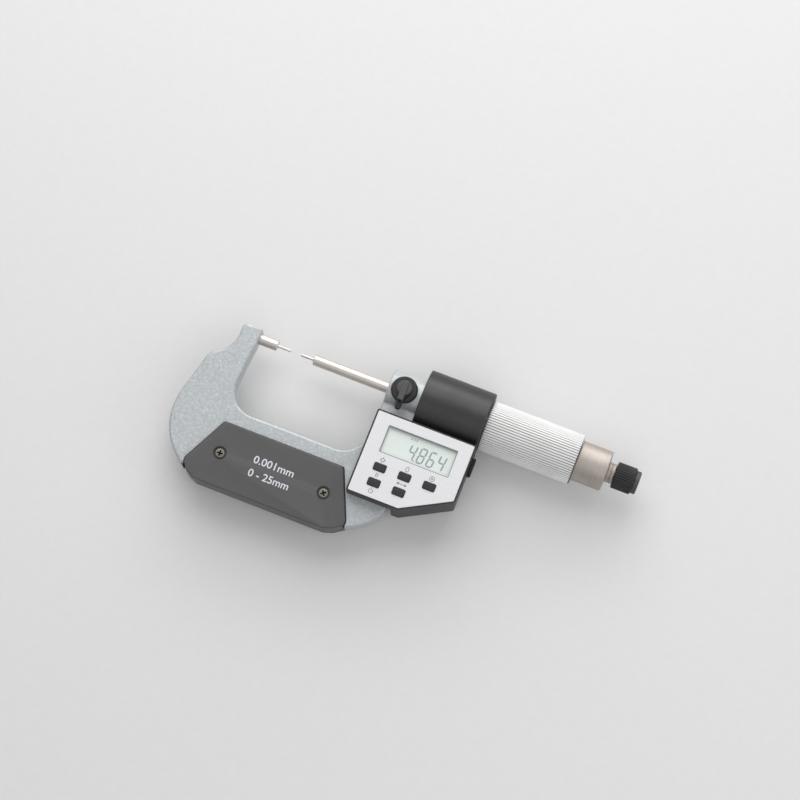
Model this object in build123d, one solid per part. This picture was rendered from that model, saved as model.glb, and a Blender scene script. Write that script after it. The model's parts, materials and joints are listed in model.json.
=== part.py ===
from build123d import *
import math
import os

# Digital outside micrometer, 0 to 25 mm, with small-diameter measuring tips. Millimetres.
# The origin is the centre of the anvil's measuring face. +X runs along the measuring axis
# from anvil to ratchet. +Y runs in the plane of the C-frame, from its bow up to the axis.
# +Z comes out of the display face, and z = 0 is the mid-plane of the C-frame.

# ---------------------------------------------------------------- driving dimensions
OPENING = 4.864                     # distance between the measuring faces

TIP_R, TIP_L = 0.6, 6.0             # measuring tips of anvil and spindle
BODY_R = 2.3                        # anvil body, and spindle behind its tip
BODY_STEP = 0.25                    # chamfer where a body meets its tip
TIP_CHAMFER = 0.05
THREAD_R = 3.09                     # spindle thread, outside radius
SHOULDER_X = 141.0                  # spindle shoulder that the inner thimble sits on

WEB_HALF = 5.0                      # half the thickness of the C-frame web
EDGE_R = 1.1                        # rounding of the web's edges
BOSS_X0, BOSS_X1, BOSS_R = 45.2, 60.0, 8.8
BLEND_R = 1.2                       # concave blend between boss and web
SPOT_Z = 7.2                        # seat for the lock lever on the boss
LOCK_X, LOCK_R = 52.25, 5.6         # pivot and disc radius of the spindle lock

PLATE_Z0, PLATE_Z1 = 4.0, 6.8       # inner and outer face of the +Z grip plate
PLATE_GAP = 0.45                    # groove between a grip plate and its pocket
GRIP_SCREW_X, GRIP_SCREW_Y = (-10.4, 36.5), -53.2

HOUSE_Z0, HOUSE_ZF, HOUSE_Z1 = -9.0, 5.02, 11.9   # deep part, face on the frame, top rim
RECESS_Z = 11.0                     # floor of the recess that takes the gasket and panel
PANEL_Z0, PANEL_Z1 = 11.1, 12.0
BOARD_Z0, BOARD_Z1 = 6.8, 7.8
LCD_Z0, LCD_Z1 = 8.9, 10.5
WINDOW_X0, WINDOW_X1, WINDOW_Y0, WINDOW_Y1 = 52.0, 83.15, -29.2, -17.0
HOUSE_SCREW_X, HOUSE_SCREW_Y = 48.9, (-17.6, -44.0)
BOARD_SCREWS = (                    # x, y, bottom of the hole, bottom of the screw
    (53.3, -16.2, 5.6, 5.8),
    (53.3, -45.4, 5.6, 5.8),
    (86.5, -32.0, 3.0, 3.4),
)
KEY_W, KEY_H, KEY_TOP = 5.4, 3.4, 12.55
KEYS = {
    "button_set": (55.0, -35.45),
    "button_zero": (66.05, -35.45),
    "button_data": (77.1, -35.45),
    "button_power": (55.0, -42.3),
    "button_units": (66.05, -42.3),
}
CELL_X, CELL_Y, CELL_R = 76.0, -27.2, 10.0        # button cell
PORT_Y, PORT_Z = -20.1, 3.4                       # centre of the data port

BARREL_X0, BARREL_X1, BARREL_R = 60.05, 89.4, 14.0
BARREL_SCREW_X, BARREL_SCREW_TURNS = 64.2, (150, 210)
STATOR_X0 = 66.9                    # carrier ends and stator begins here
SLEEVE_FRONT_R, SLEEVE_REAR_R = 5.6, 5.0          # at the anvil end, at the ratchet end
THIMBLE_X0, THIMBLE_X1, THIMBLE_R = 89.7, 130.8, 11.05
BUSH_R, HUB_R = 6.0, 7.2            # outside radii of the thimble bush and hub
TUBE_X0, TUBE_X1, TUBE_R, TUBE_BORE = 99.1, 144.2, 8.80, 7.3
KNOB_X0, KNOB_X1, KNOB_R = 147.65, 156.2, 5.8

os.makedirs("parts", exist_ok=True)


# ---------------------------------------------------------------- helpers
def box(x0, x1, y0, y1, z0, z1):
    centre = Pos((x0 + x1) / 2, (y0 + y1) / 2, (z0 + z1) / 2)
    return centre * Box(x1 - x0, y1 - y0, z1 - z0)


def zcyl(x, y, z0, z1, r):
    return Pos(x, y, z0) * Cylinder(r, z1 - z0, align=(Align.CENTER, Align.CENTER, Align.MIN))


def xcyl(x0, x1, r, y=0.0, z=0.0):
    upright = Cylinder(r, x1 - x0, align=(Align.CENTER, Align.CENTER, Align.MIN))
    return Pos(x0, y, z) * Rot(0, 90, 0) * upright


def flat_face(points):
    return make_face(Polyline(*[(x, y, 0) for x, y in points], close=True))


def turned(points):
    """A body turned about the measuring axis from (x, radius) points."""
    return revolve(flat_face(points), Axis.X, 360)


def ring(x0, x1, bore, r):
    return turned([(x0, bore), (x0, r), (x1, r), (x1, bore)])


def prism(points, z0, z1):
    return Pos(0, 0, z0) * extrude(flat_face(points), z1 - z0)


def round_rect(x, y, width, height, corner_r, z0, z1):
    return Pos(x, y, z0) * extrude(RectangleRounded(width, height, corner_r), z1 - z0)


def edges_at(shape, axis, place):
    """Edges whose centre has the given X or Z coordinate."""
    return [e for e in shape.edges() if abs(getattr(e.center(), axis) - place) < 1e-3]


def top_edges(shape):
    return shape.faces().sort_by(Axis.Z)[-1].edges()


def soften(shape, edges, size):
    """Round edges, falling back to a smaller radius where the full one doesn't fit."""
    for scale in (1.0, 0.75, 0.5, 0.3):
        # the kernel raises an error when a radius is too large for the edges
        try:
            rounded = fillet(edges, size * scale)
            if rounded.is_valid and rounded.volume > 0:
                return rounded
        except Exception:
            continue
    return shape


def inset(points, distance):
    """Offset a convex outline inwards."""
    count = len(points)
    middle_x = sum(x for x, y in points) / count
    middle_y = sum(y for x, y in points) / count
    lines = []                      # unit normal and offset of each shifted side
    for i in range(count):
        (x0, y0), (x1, y1) = points[i], points[(i + 1) % count]
        length = math.hypot(x1 - x0, y1 - y0)
        nx, ny = (y0 - y1) / length, (x1 - x0) / length
        if (middle_x - x0) * nx + (middle_y - y0) * ny < 0:
            nx, ny = -nx, -ny
        lines.append((nx, ny, nx * (x0 + nx * distance) + ny * (y0 + ny * distance)))
    corners = []
    for i in range(count):
        a1, b1, c1 = lines[i - 1]
        a2, b2, c2 = lines[i]
        det = a1 * b2 - a2 * b1
        corners.append(((c1 * b2 - c2 * b1) / det, (a1 * c2 - a2 * c1) / det))
    return corners


def fluted_bar(x0, x1, radius, depth, count, land):
    """A bar along X with straight-sided flutes; land is the uncut share of each step."""
    step = 2 * math.pi / count
    corners = ((0.0, radius), (land, radius), (land + 0.16, radius - depth),
               (0.84, radius - depth))
    outline = []
    for i in range(count):
        for share, r in corners:
            angle = (i + share) * step
            outline.append((r * math.cos(angle), r * math.sin(angle)))
    face = make_face(Plane.YZ.offset(x0) * Polyline(*outline, close=True))
    return extrude(face, x1 - x0)


def save(name, *shapes):
    """Write a piece as one or more separate solids."""
    solids = [solid for shape in shapes for solid in shape.solids()]
    piece = solids[0] if len(solids) == 1 else Compound(children=solids)
    export_step(piece, f"parts/{name}.step")


# ---------------------------------------------------------------- grip plate outlines
PLATE_OUTLINE = (                   # x, y, corner radius
    (-13.6, -39.9, 0.9), (40.3, -39.9, 0.9), (45.25, -51.2, 0), (49.35, -60.6, 1.2),
    (49.35, -63.1, 1.2), (45.6, -65.75, 2.0), (41.3, -67.15, 2.0), (-16.4, -67.15, 2.5),
    (-20.6, -65.4, 2.0), (-23.4, -61.9, 1.2), (-23.4, -59.8, 1.2),
)
FRAME_UNDERCUT = [                  # x, y of the frame's bottom edge under the plates
    (-23.45, -60.2), (-22.0, -61.2), (-19.4, -63.5), (-15.6, -64.8),
    (41.1, -64.8), (44.8, -63.6), (47.6, -61.8), (49.4, -59.9),
]


def rounded_plate_face():
    face = flat_face([(x, y) for x, y, r in PLATE_OUTLINE])
    for x, y, r in PLATE_OUTLINE:
        if r > 0:
            corner = [v for v in face.vertices() if abs(v.X - x) < 1e-3 and abs(v.Y - y) < 1e-3]
            face = fillet(corner, r)
    return face


plate_face = rounded_plate_face()

# ---------------------------------------------------------------- C-frame
# side view in x, y, anticlockwise from the top of the anvil end
FRAME_OUTLINE = [
    Line((-14.2, 3.6), (-20.5, 3.6)),
    ThreePointArc((-20.5, 3.6), (-22.056, 2.956), (-22.7, 1.4)),
    Spline((-22.7, 1.4), (-22.75, -2.4), (-23.5, -5.5), (-24.9, -8.4), (-26.9, -10.7),
           (-29.0, -12.1), (-30.8, -13.4), (-31.9, -15.2), (-32.5, -17.2),
           tangents=[(0, -1), (-0.25, -1)]),
    Spline((-32.5, -17.2), (-33.9, -23.1), (-36.0, -31.4), (-36.8, -35.2), (-37.1, -39.8),
           (-36.7, -45.0), (-35.1, -50.2), (-32.3, -55.3), (-28.6, -59.6), (-24.2, -63.0),
           (-19.4, -65.4), (-15.0, -66.2)),
    Line((-15.0, -66.2), (41.0, -66.2)),
    Spline((41.0, -66.2), (45.8, -65.2), (50.0, -63.3), (53.0, -61.75), (56.2, -59.6),
           (59.1, -57.1), (61.1, -54.7), (62.4, -52.2), (63.2, -49.7)),
    Line((63.2, -49.7), (62.9, -47.4)),
    Line((62.9, -47.4), (60.0, -42.4)),
    Line((60.0, -42.4), (60.0, -4.0)),
    Line((60.0, -4.0), (45.2, -4.0)),
    Line((45.2, -4.0), (45.2, -19.0)),
    Spline((45.2, -19.0), (45.0, -22.6), (44.1, -26.0), (42.3, -29.1), (39.5, -31.7),
           (35.8, -33.1), (32.0, -33.4)),
    Line((32.0, -33.4), (-2.5, -33.4)),
    Spline((-2.5, -33.4), (-6.3, -33.2), (-9.3, -32.3), (-11.9, -30.5), (-14.0, -27.8),
           (-15.1, -24.7), (-15.55, -21.0), (-15.4, -17.4), (-15.05, -12.0), (-14.6, -7.6),
           (-14.2, -3.6)),
    Line((-14.2, -3.6), (-14.2, 3.6)),
]


def frame_web():
    web = extrude(make_face(FRAME_OUTLINE), WEB_HALF, both=True)
    # the edges beside the boss and under the housing stay sharp
    rim = [e for e in web.edges()
           if abs(abs(e.center().Z) - WEB_HALF) < 1e-3
           and abs(e.bounding_box().size.Z) < 1e-3
           and not (e.center().X > 45.3 and e.center().Y > -48)]
    return soften(web, rim, EDGE_R)


def boss_blend():
    """Concave blend below the boss, on the web's +Z face."""
    x0 = BOSS_X0 + 0.9
    root_z = WEB_HALF - 0.5
    axis_z = WEB_HALF + BLEND_R
    axis_y = -math.sqrt((BOSS_R + BLEND_R) ** 2 - axis_z ** 2)
    share = BOSS_R / (BOSS_R + BLEND_R)
    touch_y, touch_z = axis_y * share, axis_z * share
    outline = Polyline((axis_y, root_z), (axis_y, WEB_HALF), (touch_y, touch_z),
                       (-5.5, touch_z), (-5.5, root_z), close=True)
    blend = extrude(make_face(Plane.YZ.offset(x0) * outline), BOSS_X1 - x0, dir=(1, 0, 0))
    return blend - xcyl(BOSS_X0, BOSS_X1 + 1, BLEND_R, axis_y, axis_z)


def c_frame():
    boss = xcyl(BOSS_X0, BOSS_X1, BOSS_R)
    boss = soften(boss, edges_at(boss, "X", BOSS_X0), 0.8)
    blend = boss_blend()
    frame = frame_web() + boss + blend + mirror(blend, Plane.XY)
    # bores for the guide sleeve and the spindle
    frame = frame - xcyl(BOSS_X0 + 1.4, BOSS_X1 + 1, SLEEVE_FRONT_R + 0.02)
    frame = frame - xcyl(BOSS_X0 - 1, BOSS_X0 + 2, BODY_R + 0.3)
    # spindle lock bore and lever seat
    frame = frame - zcyl(LOCK_X, 0, 3, 12, 2.03)
    frame = frame - zcyl(LOCK_X, 0, SPOT_Z, 12, LOCK_R + 0.2)
    frame = frame - xcyl(-20.9, -13, BODY_R)      # anvil bore
    hole_r = 1.28
    for x in GRIP_SCREW_X:
        frame = frame - zcyl(x, GRIP_SCREW_Y, 0.9, 6, hole_r)
        frame = frame - zcyl(x, GRIP_SCREW_Y, -6, -0.9, hole_r)
    for y in HOUSE_SCREW_Y:
        frame = frame - zcyl(HOUSE_SCREW_X, y, 0.8, 6, hole_r)
    # the bottom edge is cut back where the two grip plates wrap under it
    frame = frame - prism(FRAME_UNDERCUT + [(49.4, -72.0), (-23.45, -72.0)], -7, 7)
    # each plate lies in a shallow pocket with a narrow groove round it
    depth = 3
    pocket = extrude(offset(plate_face, PLATE_GAP), depth)
    return frame - Pos(0, 0, PLATE_Z0) * pocket - Pos(0, 0, -PLATE_Z0 - depth) * pocket


save("frame", c_frame())

# ---------------------------------------------------------------- anvil and spindle
save("anvil", turned([
    (-20.8, 0), (-20.8, BODY_R - 0.3), (-20.5, BODY_R),
    (-TIP_L - BODY_STEP, BODY_R), (-TIP_L, BODY_R - BODY_STEP), (-TIP_L, TIP_R),
    (-TIP_CHAMFER, TIP_R), (0, TIP_R - TIP_CHAMFER), (0, 0)]))

tip_end = OPENING + TIP_L
save("spindle", turned([
    (OPENING, 0), (OPENING, TIP_R - TIP_CHAMFER), (OPENING + TIP_CHAMFER, TIP_R),
    (tip_end, TIP_R), (tip_end, BODY_R - BODY_STEP), (tip_end + BODY_STEP, BODY_R),
    (72.0, BODY_R), (72.6, THREAD_R), (122.0, THREAD_R), (122.4, 2.8),
    (SHOULDER_X, 2.8), (SHOULDER_X, 1.98), (147.0, 1.98), (147.0, 0)]))


# ---------------------------------------------------------------- guide sleeve
def guide_sleeve():
    """Guide bore at the anvil end, clearance bore, then a slotted nut bore."""
    guide_r, clearance_r, nut_r = BODY_R + 0.04, 3.6, THREAD_R + 0.03
    sleeve = turned([
        (46.7, guide_r), (46.7, SLEEVE_FRONT_R), (70.0, SLEEVE_FRONT_R),
        (70.0, SLEEVE_REAR_R), (112.0, SLEEVE_REAR_R), (112.0, nut_r), (100.0, nut_r),
        (99.4, clearance_r), (61.6, clearance_r), (61.0, guide_r)])
    sleeve = sleeve - xcyl(46.0, 48.1, 3.4)                              # wiper seat
    sleeve = sleeve - zcyl(LOCK_X, 0, 0.5, 7, 1.86)                      # lock shoe hole
    sleeve = sleeve - (xcyl(94.2, 95.1, 6) - xcyl(94.2, 95.1, 4.6))      # ring groove
    for turn in (0, 120, 240):
        sleeve = sleeve - Rot(turn, 0, 0) * box(101.0, 113.0, -0.3, 0.3, 0, 8)
    return sleeve


def adjusting_nut():
    x0, x1, bore, r, bevel = 104.0, 111.0, SLEEVE_REAR_R + 0.04, 6.6, 0.3
    nut = turned([(x0, bore), (x0, r - bevel), (x0 + bevel, r),
                  (x1 - bevel, r), (x1, r - bevel), (x1, bore)])
    for turn in range(0, 360, 60):
        nut = nut - Rot(turn, 0, 0) * box(103, 105.2, -0.6, 0.6, 5.6, 7)
    return nut


save("guide_sleeve", guide_sleeve())
save("spindle_wiper", ring(46.75, 48.05, BODY_R + 0.05, 3.35))
save("adjusting_nut", adjusting_nut())


# ---------------------------------------------------------------- grip plates and screws
def grip_plate():
    """The +Z plate, with the lip that wraps under the frame."""
    plate = Pos(0, 0, PLATE_Z0) * extrude(plate_face, PLATE_Z1 - PLATE_Z0)
    rim = top_edges(plate)
    # guards against the rounding failing at the plate's tight corners
    try:
        plate = fillet(rim, 0.5)
    except Exception:
        plate = chamfer(rim, 0.45)
    gap = 0.03                      # to the frame's undercut, and to the mid-plane
    below = [(x, y - gap) for x, y in FRAME_UNDERCUT]
    below += [(52.0, -59.9), (52.0, -72.0), (-27.0, -72.0), (-27.0, -60.2)]
    lip = (Pos(0, 0, gap) * extrude(plate_face, PLATE_Z0)) & prism(below, -1, PLATE_Z0 + 0.1)
    plate = plate + lip
    for x in GRIP_SCREW_X:
        plate = plate - zcyl(x, GRIP_SCREW_Y, 5.7, 8, 2.9)
        plate = plate - zcyl(x, GRIP_SCREW_Y, 3, 8, 1.4)
    return plate


def grip_screw(x, turn):
    """A +Z grip screw with its cross slot turned by the given angle."""
    shank_r, shank_z0, head_r, head_z0 = 1.25, 1.0, 2.1, 5.72
    profile = Polyline(
        (0, 0, shank_z0), (shank_r, 0, shank_z0), (shank_r, 0, head_z0), (head_r, 0, head_z0),
        (head_r, 0, 6.25), (1.85, 0, 6.48), (0, 0, 6.56), close=True)
    screw = revolve(make_face(profile), Axis.Z, 360)
    for slot_turn in (0, 90):
        slot = box(-1.45, 1.45, -0.38, 0.38, 5.9, 7)
        screw = screw - Rot(0, 0, slot_turn + turn) * slot
    return Pos(x, GRIP_SCREW_Y, 0) * screw


save("grip_plate_front", grip_plate())
save("grip_plate_rear", mirror(grip_plate(), Plane.XY))
save("grip_screws_front", *[grip_screw(x, turn) for x, turn in zip(GRIP_SCREW_X, (3, 35))])
save("grip_screws_rear", *[mirror(grip_screw(x, turn), Plane.XY)
                           for x, turn in zip(GRIP_SCREW_X, (18, 62))])

# ---------------------------------------------------------------- display housing
# x, y outlines: the whole display part, the deep part behind it, and its cavity
HOUSE_OUTLINE = [(45.1, -12.0), (89.5, -12.0), (89.5, -37.95), (68.45, -49.4), (45.1, -49.4)]
DEEP_OUTLINE = [(60.5, -12.0), (89.5, -12.0), (89.5, -37.95), (68.45, -49.4), (64.9, -49.4),
                (64.9, -46.6), (60.5, -39.2)]
CAVITY_OUTLINE = [(62.4, -15.9), (87.6, -15.9), (87.6, -36.8), (67.9, -47.5), (66.7, -47.5),
                  (66.7, -46.0), (62.4, -38.7)]


def port_block(x, depth, width, height, corner_r):
    """A rounded block centred on the data port, from x towards +X."""
    face = RectangleRounded(width, height, corner_r)
    return Pos(x, PORT_Y, PORT_Z) * Rot(0, 90, 0) * extrude(face, depth)


def display_housing():
    corner_r = 0.9
    display = prism(HOUSE_OUTLINE, HOUSE_ZF, HOUSE_Z1)
    display = soften(display, display.edges().filter_by(Axis.Z), corner_r)
    deep = prism(DEEP_OUTLINE, HOUSE_Z0, HOUSE_ZF + 0.01)
    deep_corners = [e for e in deep.edges().filter_by(Axis.Z) if e.center().X > 64]
    deep = soften(deep, deep_corners, corner_r)
    deep = soften(deep, deep.faces().sort_by(Axis.Z)[0].edges(), 0.7)
    housing = display + deep
    # panel recess, display cavity, deep cavity and barrel bore
    housing = housing - prism(inset(HOUSE_OUTLINE, 0.62), RECESS_Z, 13)
    housing = housing - prism(inset(HOUSE_OUTLINE, 1.7), 6.3, 11.5)
    housing = housing - prism(CAVITY_OUTLINE, -2.0, 7)
    housing = housing - xcyl(59.0, 92.0, BARREL_R + 0.12)
    # supports and holes for the board screws
    for x, y, _, _ in BOARD_SCREWS[:2]:
        housing = housing + zcyl(x, y, 6.2, BOARD_Z0, 1.3)
    housing = housing + box(85.6, 87.9, -34.0, -30.0, -2.2, BOARD_Z0)
    for x, y, hole_z0, _ in BOARD_SCREWS:
        housing = housing - zcyl(x, y, hole_z0, 7, 0.7)
    for y in HOUSE_SCREW_Y:
        housing = housing - zcyl(HOUSE_SCREW_X, y, 4, 7, 1.4)
    # battery well, cap bore and contact openings
    housing = housing - zcyl(CELL_X, CELL_Y, -7.35, -3.9, CELL_R + 0.3)
    housing = housing - zcyl(CELL_X, CELL_Y, -10, -7.3, 11.5)
    for x in (CELL_X - 6, CELL_X + 4):
        housing = housing - box(x, x + 3, CELL_Y - 1.5, CELL_Y + 1.5, -4.5, -1)
    # flat cable slot into the encoder barrel, and the data port opening
    housing = housing - box(62.6, 66.4, -17.0, -13.0, -0.5, 0.5)
    return housing - port_block(86.5, 5, 3.6, 5.6, 0.8)


save("display_housing", display_housing())


# ---------------------------------------------------------------- panel and display
def window_block(gap, corner_r, z0, z1):
    """A block that fills the window, smaller by gap across."""
    return round_rect((WINDOW_X0 + WINDOW_X1) / 2, (WINDOW_Y0 + WINDOW_Y1) / 2,
                      WINDOW_X1 - WINDOW_X0 - gap, WINDOW_Y1 - WINDOW_Y0 - gap,
                      corner_r, z0, z1)


def display_panel():
    panel = prism(inset(HOUSE_OUTLINE, 0.66), PANEL_Z0, PANEL_Z1)
    panel = soften(panel, panel.edges().filter_by(Axis.Z), 0.5)
    panel = chamfer(top_edges(panel), 0.12)
    panel = panel - window_block(0, 0.6, 10, 13)
    for x, y in KEYS.values():
        panel = panel - round_rect(x, y, KEY_W + 0.24, KEY_H + 0.24, 0.75, 10, 13)
    return panel


save("display_panel", display_panel())
save("panel_gasket", prism(inset(HOUSE_OUTLINE, 0.7), RECESS_Z, PANEL_Z0)
     - prism(inset(HOUSE_OUTLINE, 1.65), 10.5, 11.5))
save("lcd_window", window_block(0.06, 0.55, LCD_Z1, 11.5))
save("lcd_module", box(50.9, 84.2, -31.1, -15.0, LCD_Z0, LCD_Z1))
save("lcd_connectors", *[box(55.2, 83.5, y, y + 1.2, BOARD_Z1, LCD_Z0) for y in (-16.6, -30.8)])


# ---------------------------------------------------------------- circuit board and screws
def circuit_board():
    board = prism([(51.4, -14.6), (87.3, -14.6), (87.3, -36.8), (67.8, -47.3), (51.4, -47.3)],
                  BOARD_Z0, BOARD_Z1)
    for x, y, _, _ in BOARD_SCREWS:
        board = board - zcyl(x, y, 6, 8, 0.75)
    # a large and a small package on the board's -Z face
    board = board + box(68.0, 76.0, -26.0, -18.0, 5.6, BOARD_Z0)
    return board + box(55.0, 58.0, -27.0, -24.0, 6.35, BOARD_Z0)


def housing_screw(y):
    x = HOUSE_SCREW_X
    screw = zcyl(x, y, 1.2, 6.3, 1.25) + zcyl(x, y, 6.32, 7.8, 1.85)
    return screw - box(x - 2, x + 2, y - 0.25, y + 0.25, 7.2, 8)


def switch_dome(x, y):
    cone = Cone(2.0, 1.2, 0.3, align=(Align.CENTER, Align.CENTER, Align.MIN))
    return Pos(x, y, BOARD_Z1) * cone


def push_button(x, y):
    """Key cap, the flange under the panel and the stem down to the switch."""
    cap = round_rect(x, y, KEY_W, KEY_H, 0.65, 10.9, KEY_TOP)
    cap = soften(cap, top_edges(cap), 0.35)
    flange = round_rect(x, y, KEY_W + 1.2, KEY_H + 1.2, 1.0, 10.2, 10.95)
    return cap + flange + zcyl(x, y, 8.65, 10.3, 1.1)


save("circuit_board", circuit_board())
save("board_screws", *[zcyl(x, y, z0, BOARD_Z1, 0.68) + zcyl(x, y, BOARD_Z1, 8.7, 1.15)
                       for x, y, _, z0 in BOARD_SCREWS])
save("housing_screws", *[housing_screw(y) for y in HOUSE_SCREW_Y])
save("switch_domes", *[switch_dome(x, y) for x, y in KEYS.values()])
for name, (x, y) in KEYS.items():
    save(name, push_button(x, y))


# ---------------------------------------------------------------- battery, cap and contacts
def battery():
    z0 = -7.2
    cell = zcyl(CELL_X, CELL_Y, z0, -4.55, CELL_R) + zcyl(CELL_X, CELL_Y, -4.6, -4.0, 8.8)
    return soften(cell, edges_at(cell, "Z", z0), 0.5)


def battery_cap():
    """Cap with a groove round its rim for the seal and a slot across its -Z face."""
    cap = zcyl(CELL_X, CELL_Y, HOUSE_Z0, -7.4, 11.43)
    cap = cap - (zcyl(CELL_X, CELL_Y, -8.7, -7.8, 12) - zcyl(CELL_X, CELL_Y, -8.7, -7.8, 10.45))
    return cap - box(CELL_X - 7.5, CELL_X + 7.5, CELL_Y - 0.9, CELL_Y + 0.9, -9.5, -8.3)


def battery_contact(pad_x, riser_x, riser_top):
    """A flat pad on the cell with an upright strip; x places are from the cell's centre."""
    y0, y1, z0, thick = CELL_Y - 1.0, CELL_Y + 1.0, -3.95, 0.25
    x0, x1 = CELL_X + pad_x, CELL_X + riser_x
    return box(x0, x0 + 2, y0, y1, z0, z0 + thick) + box(x1, x1 + thick, y0, y1, z0, riser_top)


save("battery", battery())
save("battery_cap", battery_cap())
save("battery_cap_seal", Pos(CELL_X, CELL_Y, -8.25) * Torus(10.94, 0.42))
save("battery_contacts", battery_contact(-5.5, -5.5, 5.6), battery_contact(4.5, 6.25, BOARD_Z0))


# ---------------------------------------------------------------- data port and its cover
def data_port_cover():
    x0, thick = 89.53, 1.6
    cover = port_block(x0, thick, 5.6, 8.0, 1.2)
    cover = soften(cover, edges_at(cover, "X", x0 + thick), 0.5)
    return cover + port_block(87.0, 2.6, 3.4, 5.4, 0.75)


save("data_port", box(84.5, 86.6, PORT_Y - 2.5, PORT_Y + 2.5, 2.0, 4.8))
save("data_port_cover", data_port_cover())


# ---------------------------------------------------------------- encoder barrel
def barrel_cover():
    """Walled at the anvil end, with an inward lip round the thimble at the other."""
    barrel = turned([
        (BARREL_X0, 5.7), (BARREL_X0, BARREL_R - 0.4), (BARREL_X0 + 0.4, BARREL_R),
        (BARREL_X1 - 0.9, BARREL_R), (BARREL_X1 - 0.35, BARREL_R - 0.22),
        (BARREL_X1, BARREL_R - 0.8), (BARREL_X1, 8.5), (88.2, 8.5), (88.2, 12.6),
        (60.95, 12.6), (60.95, 5.7)])
    barrel = barrel - box(62.6, 66.4, -15, -12, -0.8, 0.8)
    for turn in BARREL_SCREW_TURNS:
        barrel = barrel - Rot(turn, 0, 0) * zcyl(BARREL_SCREW_X, 0, 11, 15, 1.0)
    return barrel


def barrel_screw(turn):
    x = BARREL_SCREW_X
    slot = box(x - 1.3, x + 1.3, -0.2, 0.2, 13.2, 14.5)
    return Rot(turn, 0, 0) * (zcyl(x, 0, 11.3, 13.8, 0.97) - slot)


def stator_carrier():
    carrier = ring(61.0, STATOR_X0, 5.63, 12.55) - ring(62.4, 67.5, 7.4, 11.0)
    carrier = carrier - box(62.6, 66.4, -13, -12.0, -0.8, 0.8)
    for turn in BARREL_SCREW_TURNS:
        carrier = carrier - Rot(turn, 0, 0) * zcyl(BARREL_SCREW_X, 0, 10.5, 13, 1.0)
    return carrier


def flex_cable():
    """Flat cable out of the barrel towards -Y, then up to the circuit board."""
    outline = Polyline((-12.1, -0.12), (-16.6, -0.12), (-16.6, 6.75), (-16.85, 6.75),
                       (-16.85, -0.37), (-12.1, -0.37), close=True)
    return extrude(make_face(Plane.YZ.offset(63.0) * outline), 3.0)


save("barrel_cover", barrel_cover())
save("barrel_screws", *[barrel_screw(turn) for turn in BARREL_SCREW_TURNS])
save("thimble_seal", ring(88.3, 89.35, 7.3, 8.45))
save("stator_carrier", stator_carrier())
save("encoder_stator", ring(STATOR_X0, 68.3, 5.75, 12.3))
save("encoder_rotor", ring(68.7, 70.1, 5.8, 11.8))
save("encoder_flex_cable", flex_cable())

# ---------------------------------------------------------------- thimble group
save("thimble_bush", ring(70.15, 93.6, 5.05, BUSH_R))
save("thimble_hub", turned([(70.1, BUSH_R), (70.1, 10.0), (71.7, 10.0), (71.7, HUB_R),
                            (93.9, HUB_R), (93.9, BUSH_R)]))
save("thimble_retaining_ring", ring(94.25, 95.05, 4.65, 6.4) - box(93, 96, -1.2, 1.2, 0, 8))


def fluted_thimble():
    x0, x1, r = THIMBLE_X0, THIMBLE_X1, THIMBLE_R
    thimble = fluted_bar(x0, x1, r, depth=0.38, count=60, land=0.42)
    # bevel both ends
    thimble = thimble & turned([
        (x0, 0), (x0, r - 0.22), (x0 + 0.22, r + 0.02), (x1 - 1.1, r + 0.02),
        (x1 - 0.45, r - 0.25), (x1, r - 0.95), (x1, 0)])
    # bores for the inner thimble and the hub, then the keyway
    thimble = thimble - xcyl(94.0, x1 + 1, TUBE_R + 0.05) - xcyl(x0 - 1, 95, HUB_R)
    return thimble - box(94.6, x1 + 1, -1.0, 1.0, -9.75, -7)


def inner_thimble():
    """Tube that telescopes inside the thimble, closed at the ratchet end."""
    tube = turned([
        (TUBE_X0, TUBE_BORE), (TUBE_X0, TUBE_R - 0.2), (TUBE_X0 + 0.2, TUBE_R),
        (TUBE_X1 - 0.7, TUBE_R), (TUBE_X1, TUBE_R - 0.7), (TUBE_X1, 2.0),
        (SHOULDER_X, 2.0), (SHOULDER_X, TUBE_BORE)])
    return tube - box(99.6, 102.7, -0.97, 0.97, -10, -6)


save("thimble", fluted_thimble())
save("inner_thimble", inner_thimble())
save("thimble_key", box(99.62, 102.68, -0.95, 0.95, -9.6, -7.35))


# ---------------------------------------------------------------- ratchet
def add_teeth(body, x0, x1, first_turn):
    for i in range(8):
        body = body + Rot(45 * i + first_turn, 0, 0) * box(x0, x1, -0.5, 0.5, 2.7, 4.4)
    return body


def ratchet_spring():
    coil_r = 3.3
    wire = Plane((coil_r, 0, 0), z_dir=(0, 1, 0)) * Circle(0.2)
    coil = sweep(wire, path=Helix(pitch=0.48, height=1.0, radius=coil_r))
    return Pos(147.64, 0, 0) * Rot(0, 90, 0) * coil


def ratchet_knob():
    x0, x1, r = KNOB_X0, KNOB_X1, KNOB_R
    knob = fluted_bar(x0, x1, r, depth=0.33, count=34, land=0.40)
    # bevel both ends
    knob = knob & turned([(x0, 0), (x0, r - 0.3), (x0 + 0.3, r + 0.02),
                          (x1 - 0.35, r + 0.02), (x1, r - 0.35), (x1, 0)])
    knob = knob - xcyl(147, 151.5, 4.75) - xcyl(150, 158, 2.05)
    return add_teeth(knob, 150.9, 151.7, 22.5)


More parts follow.
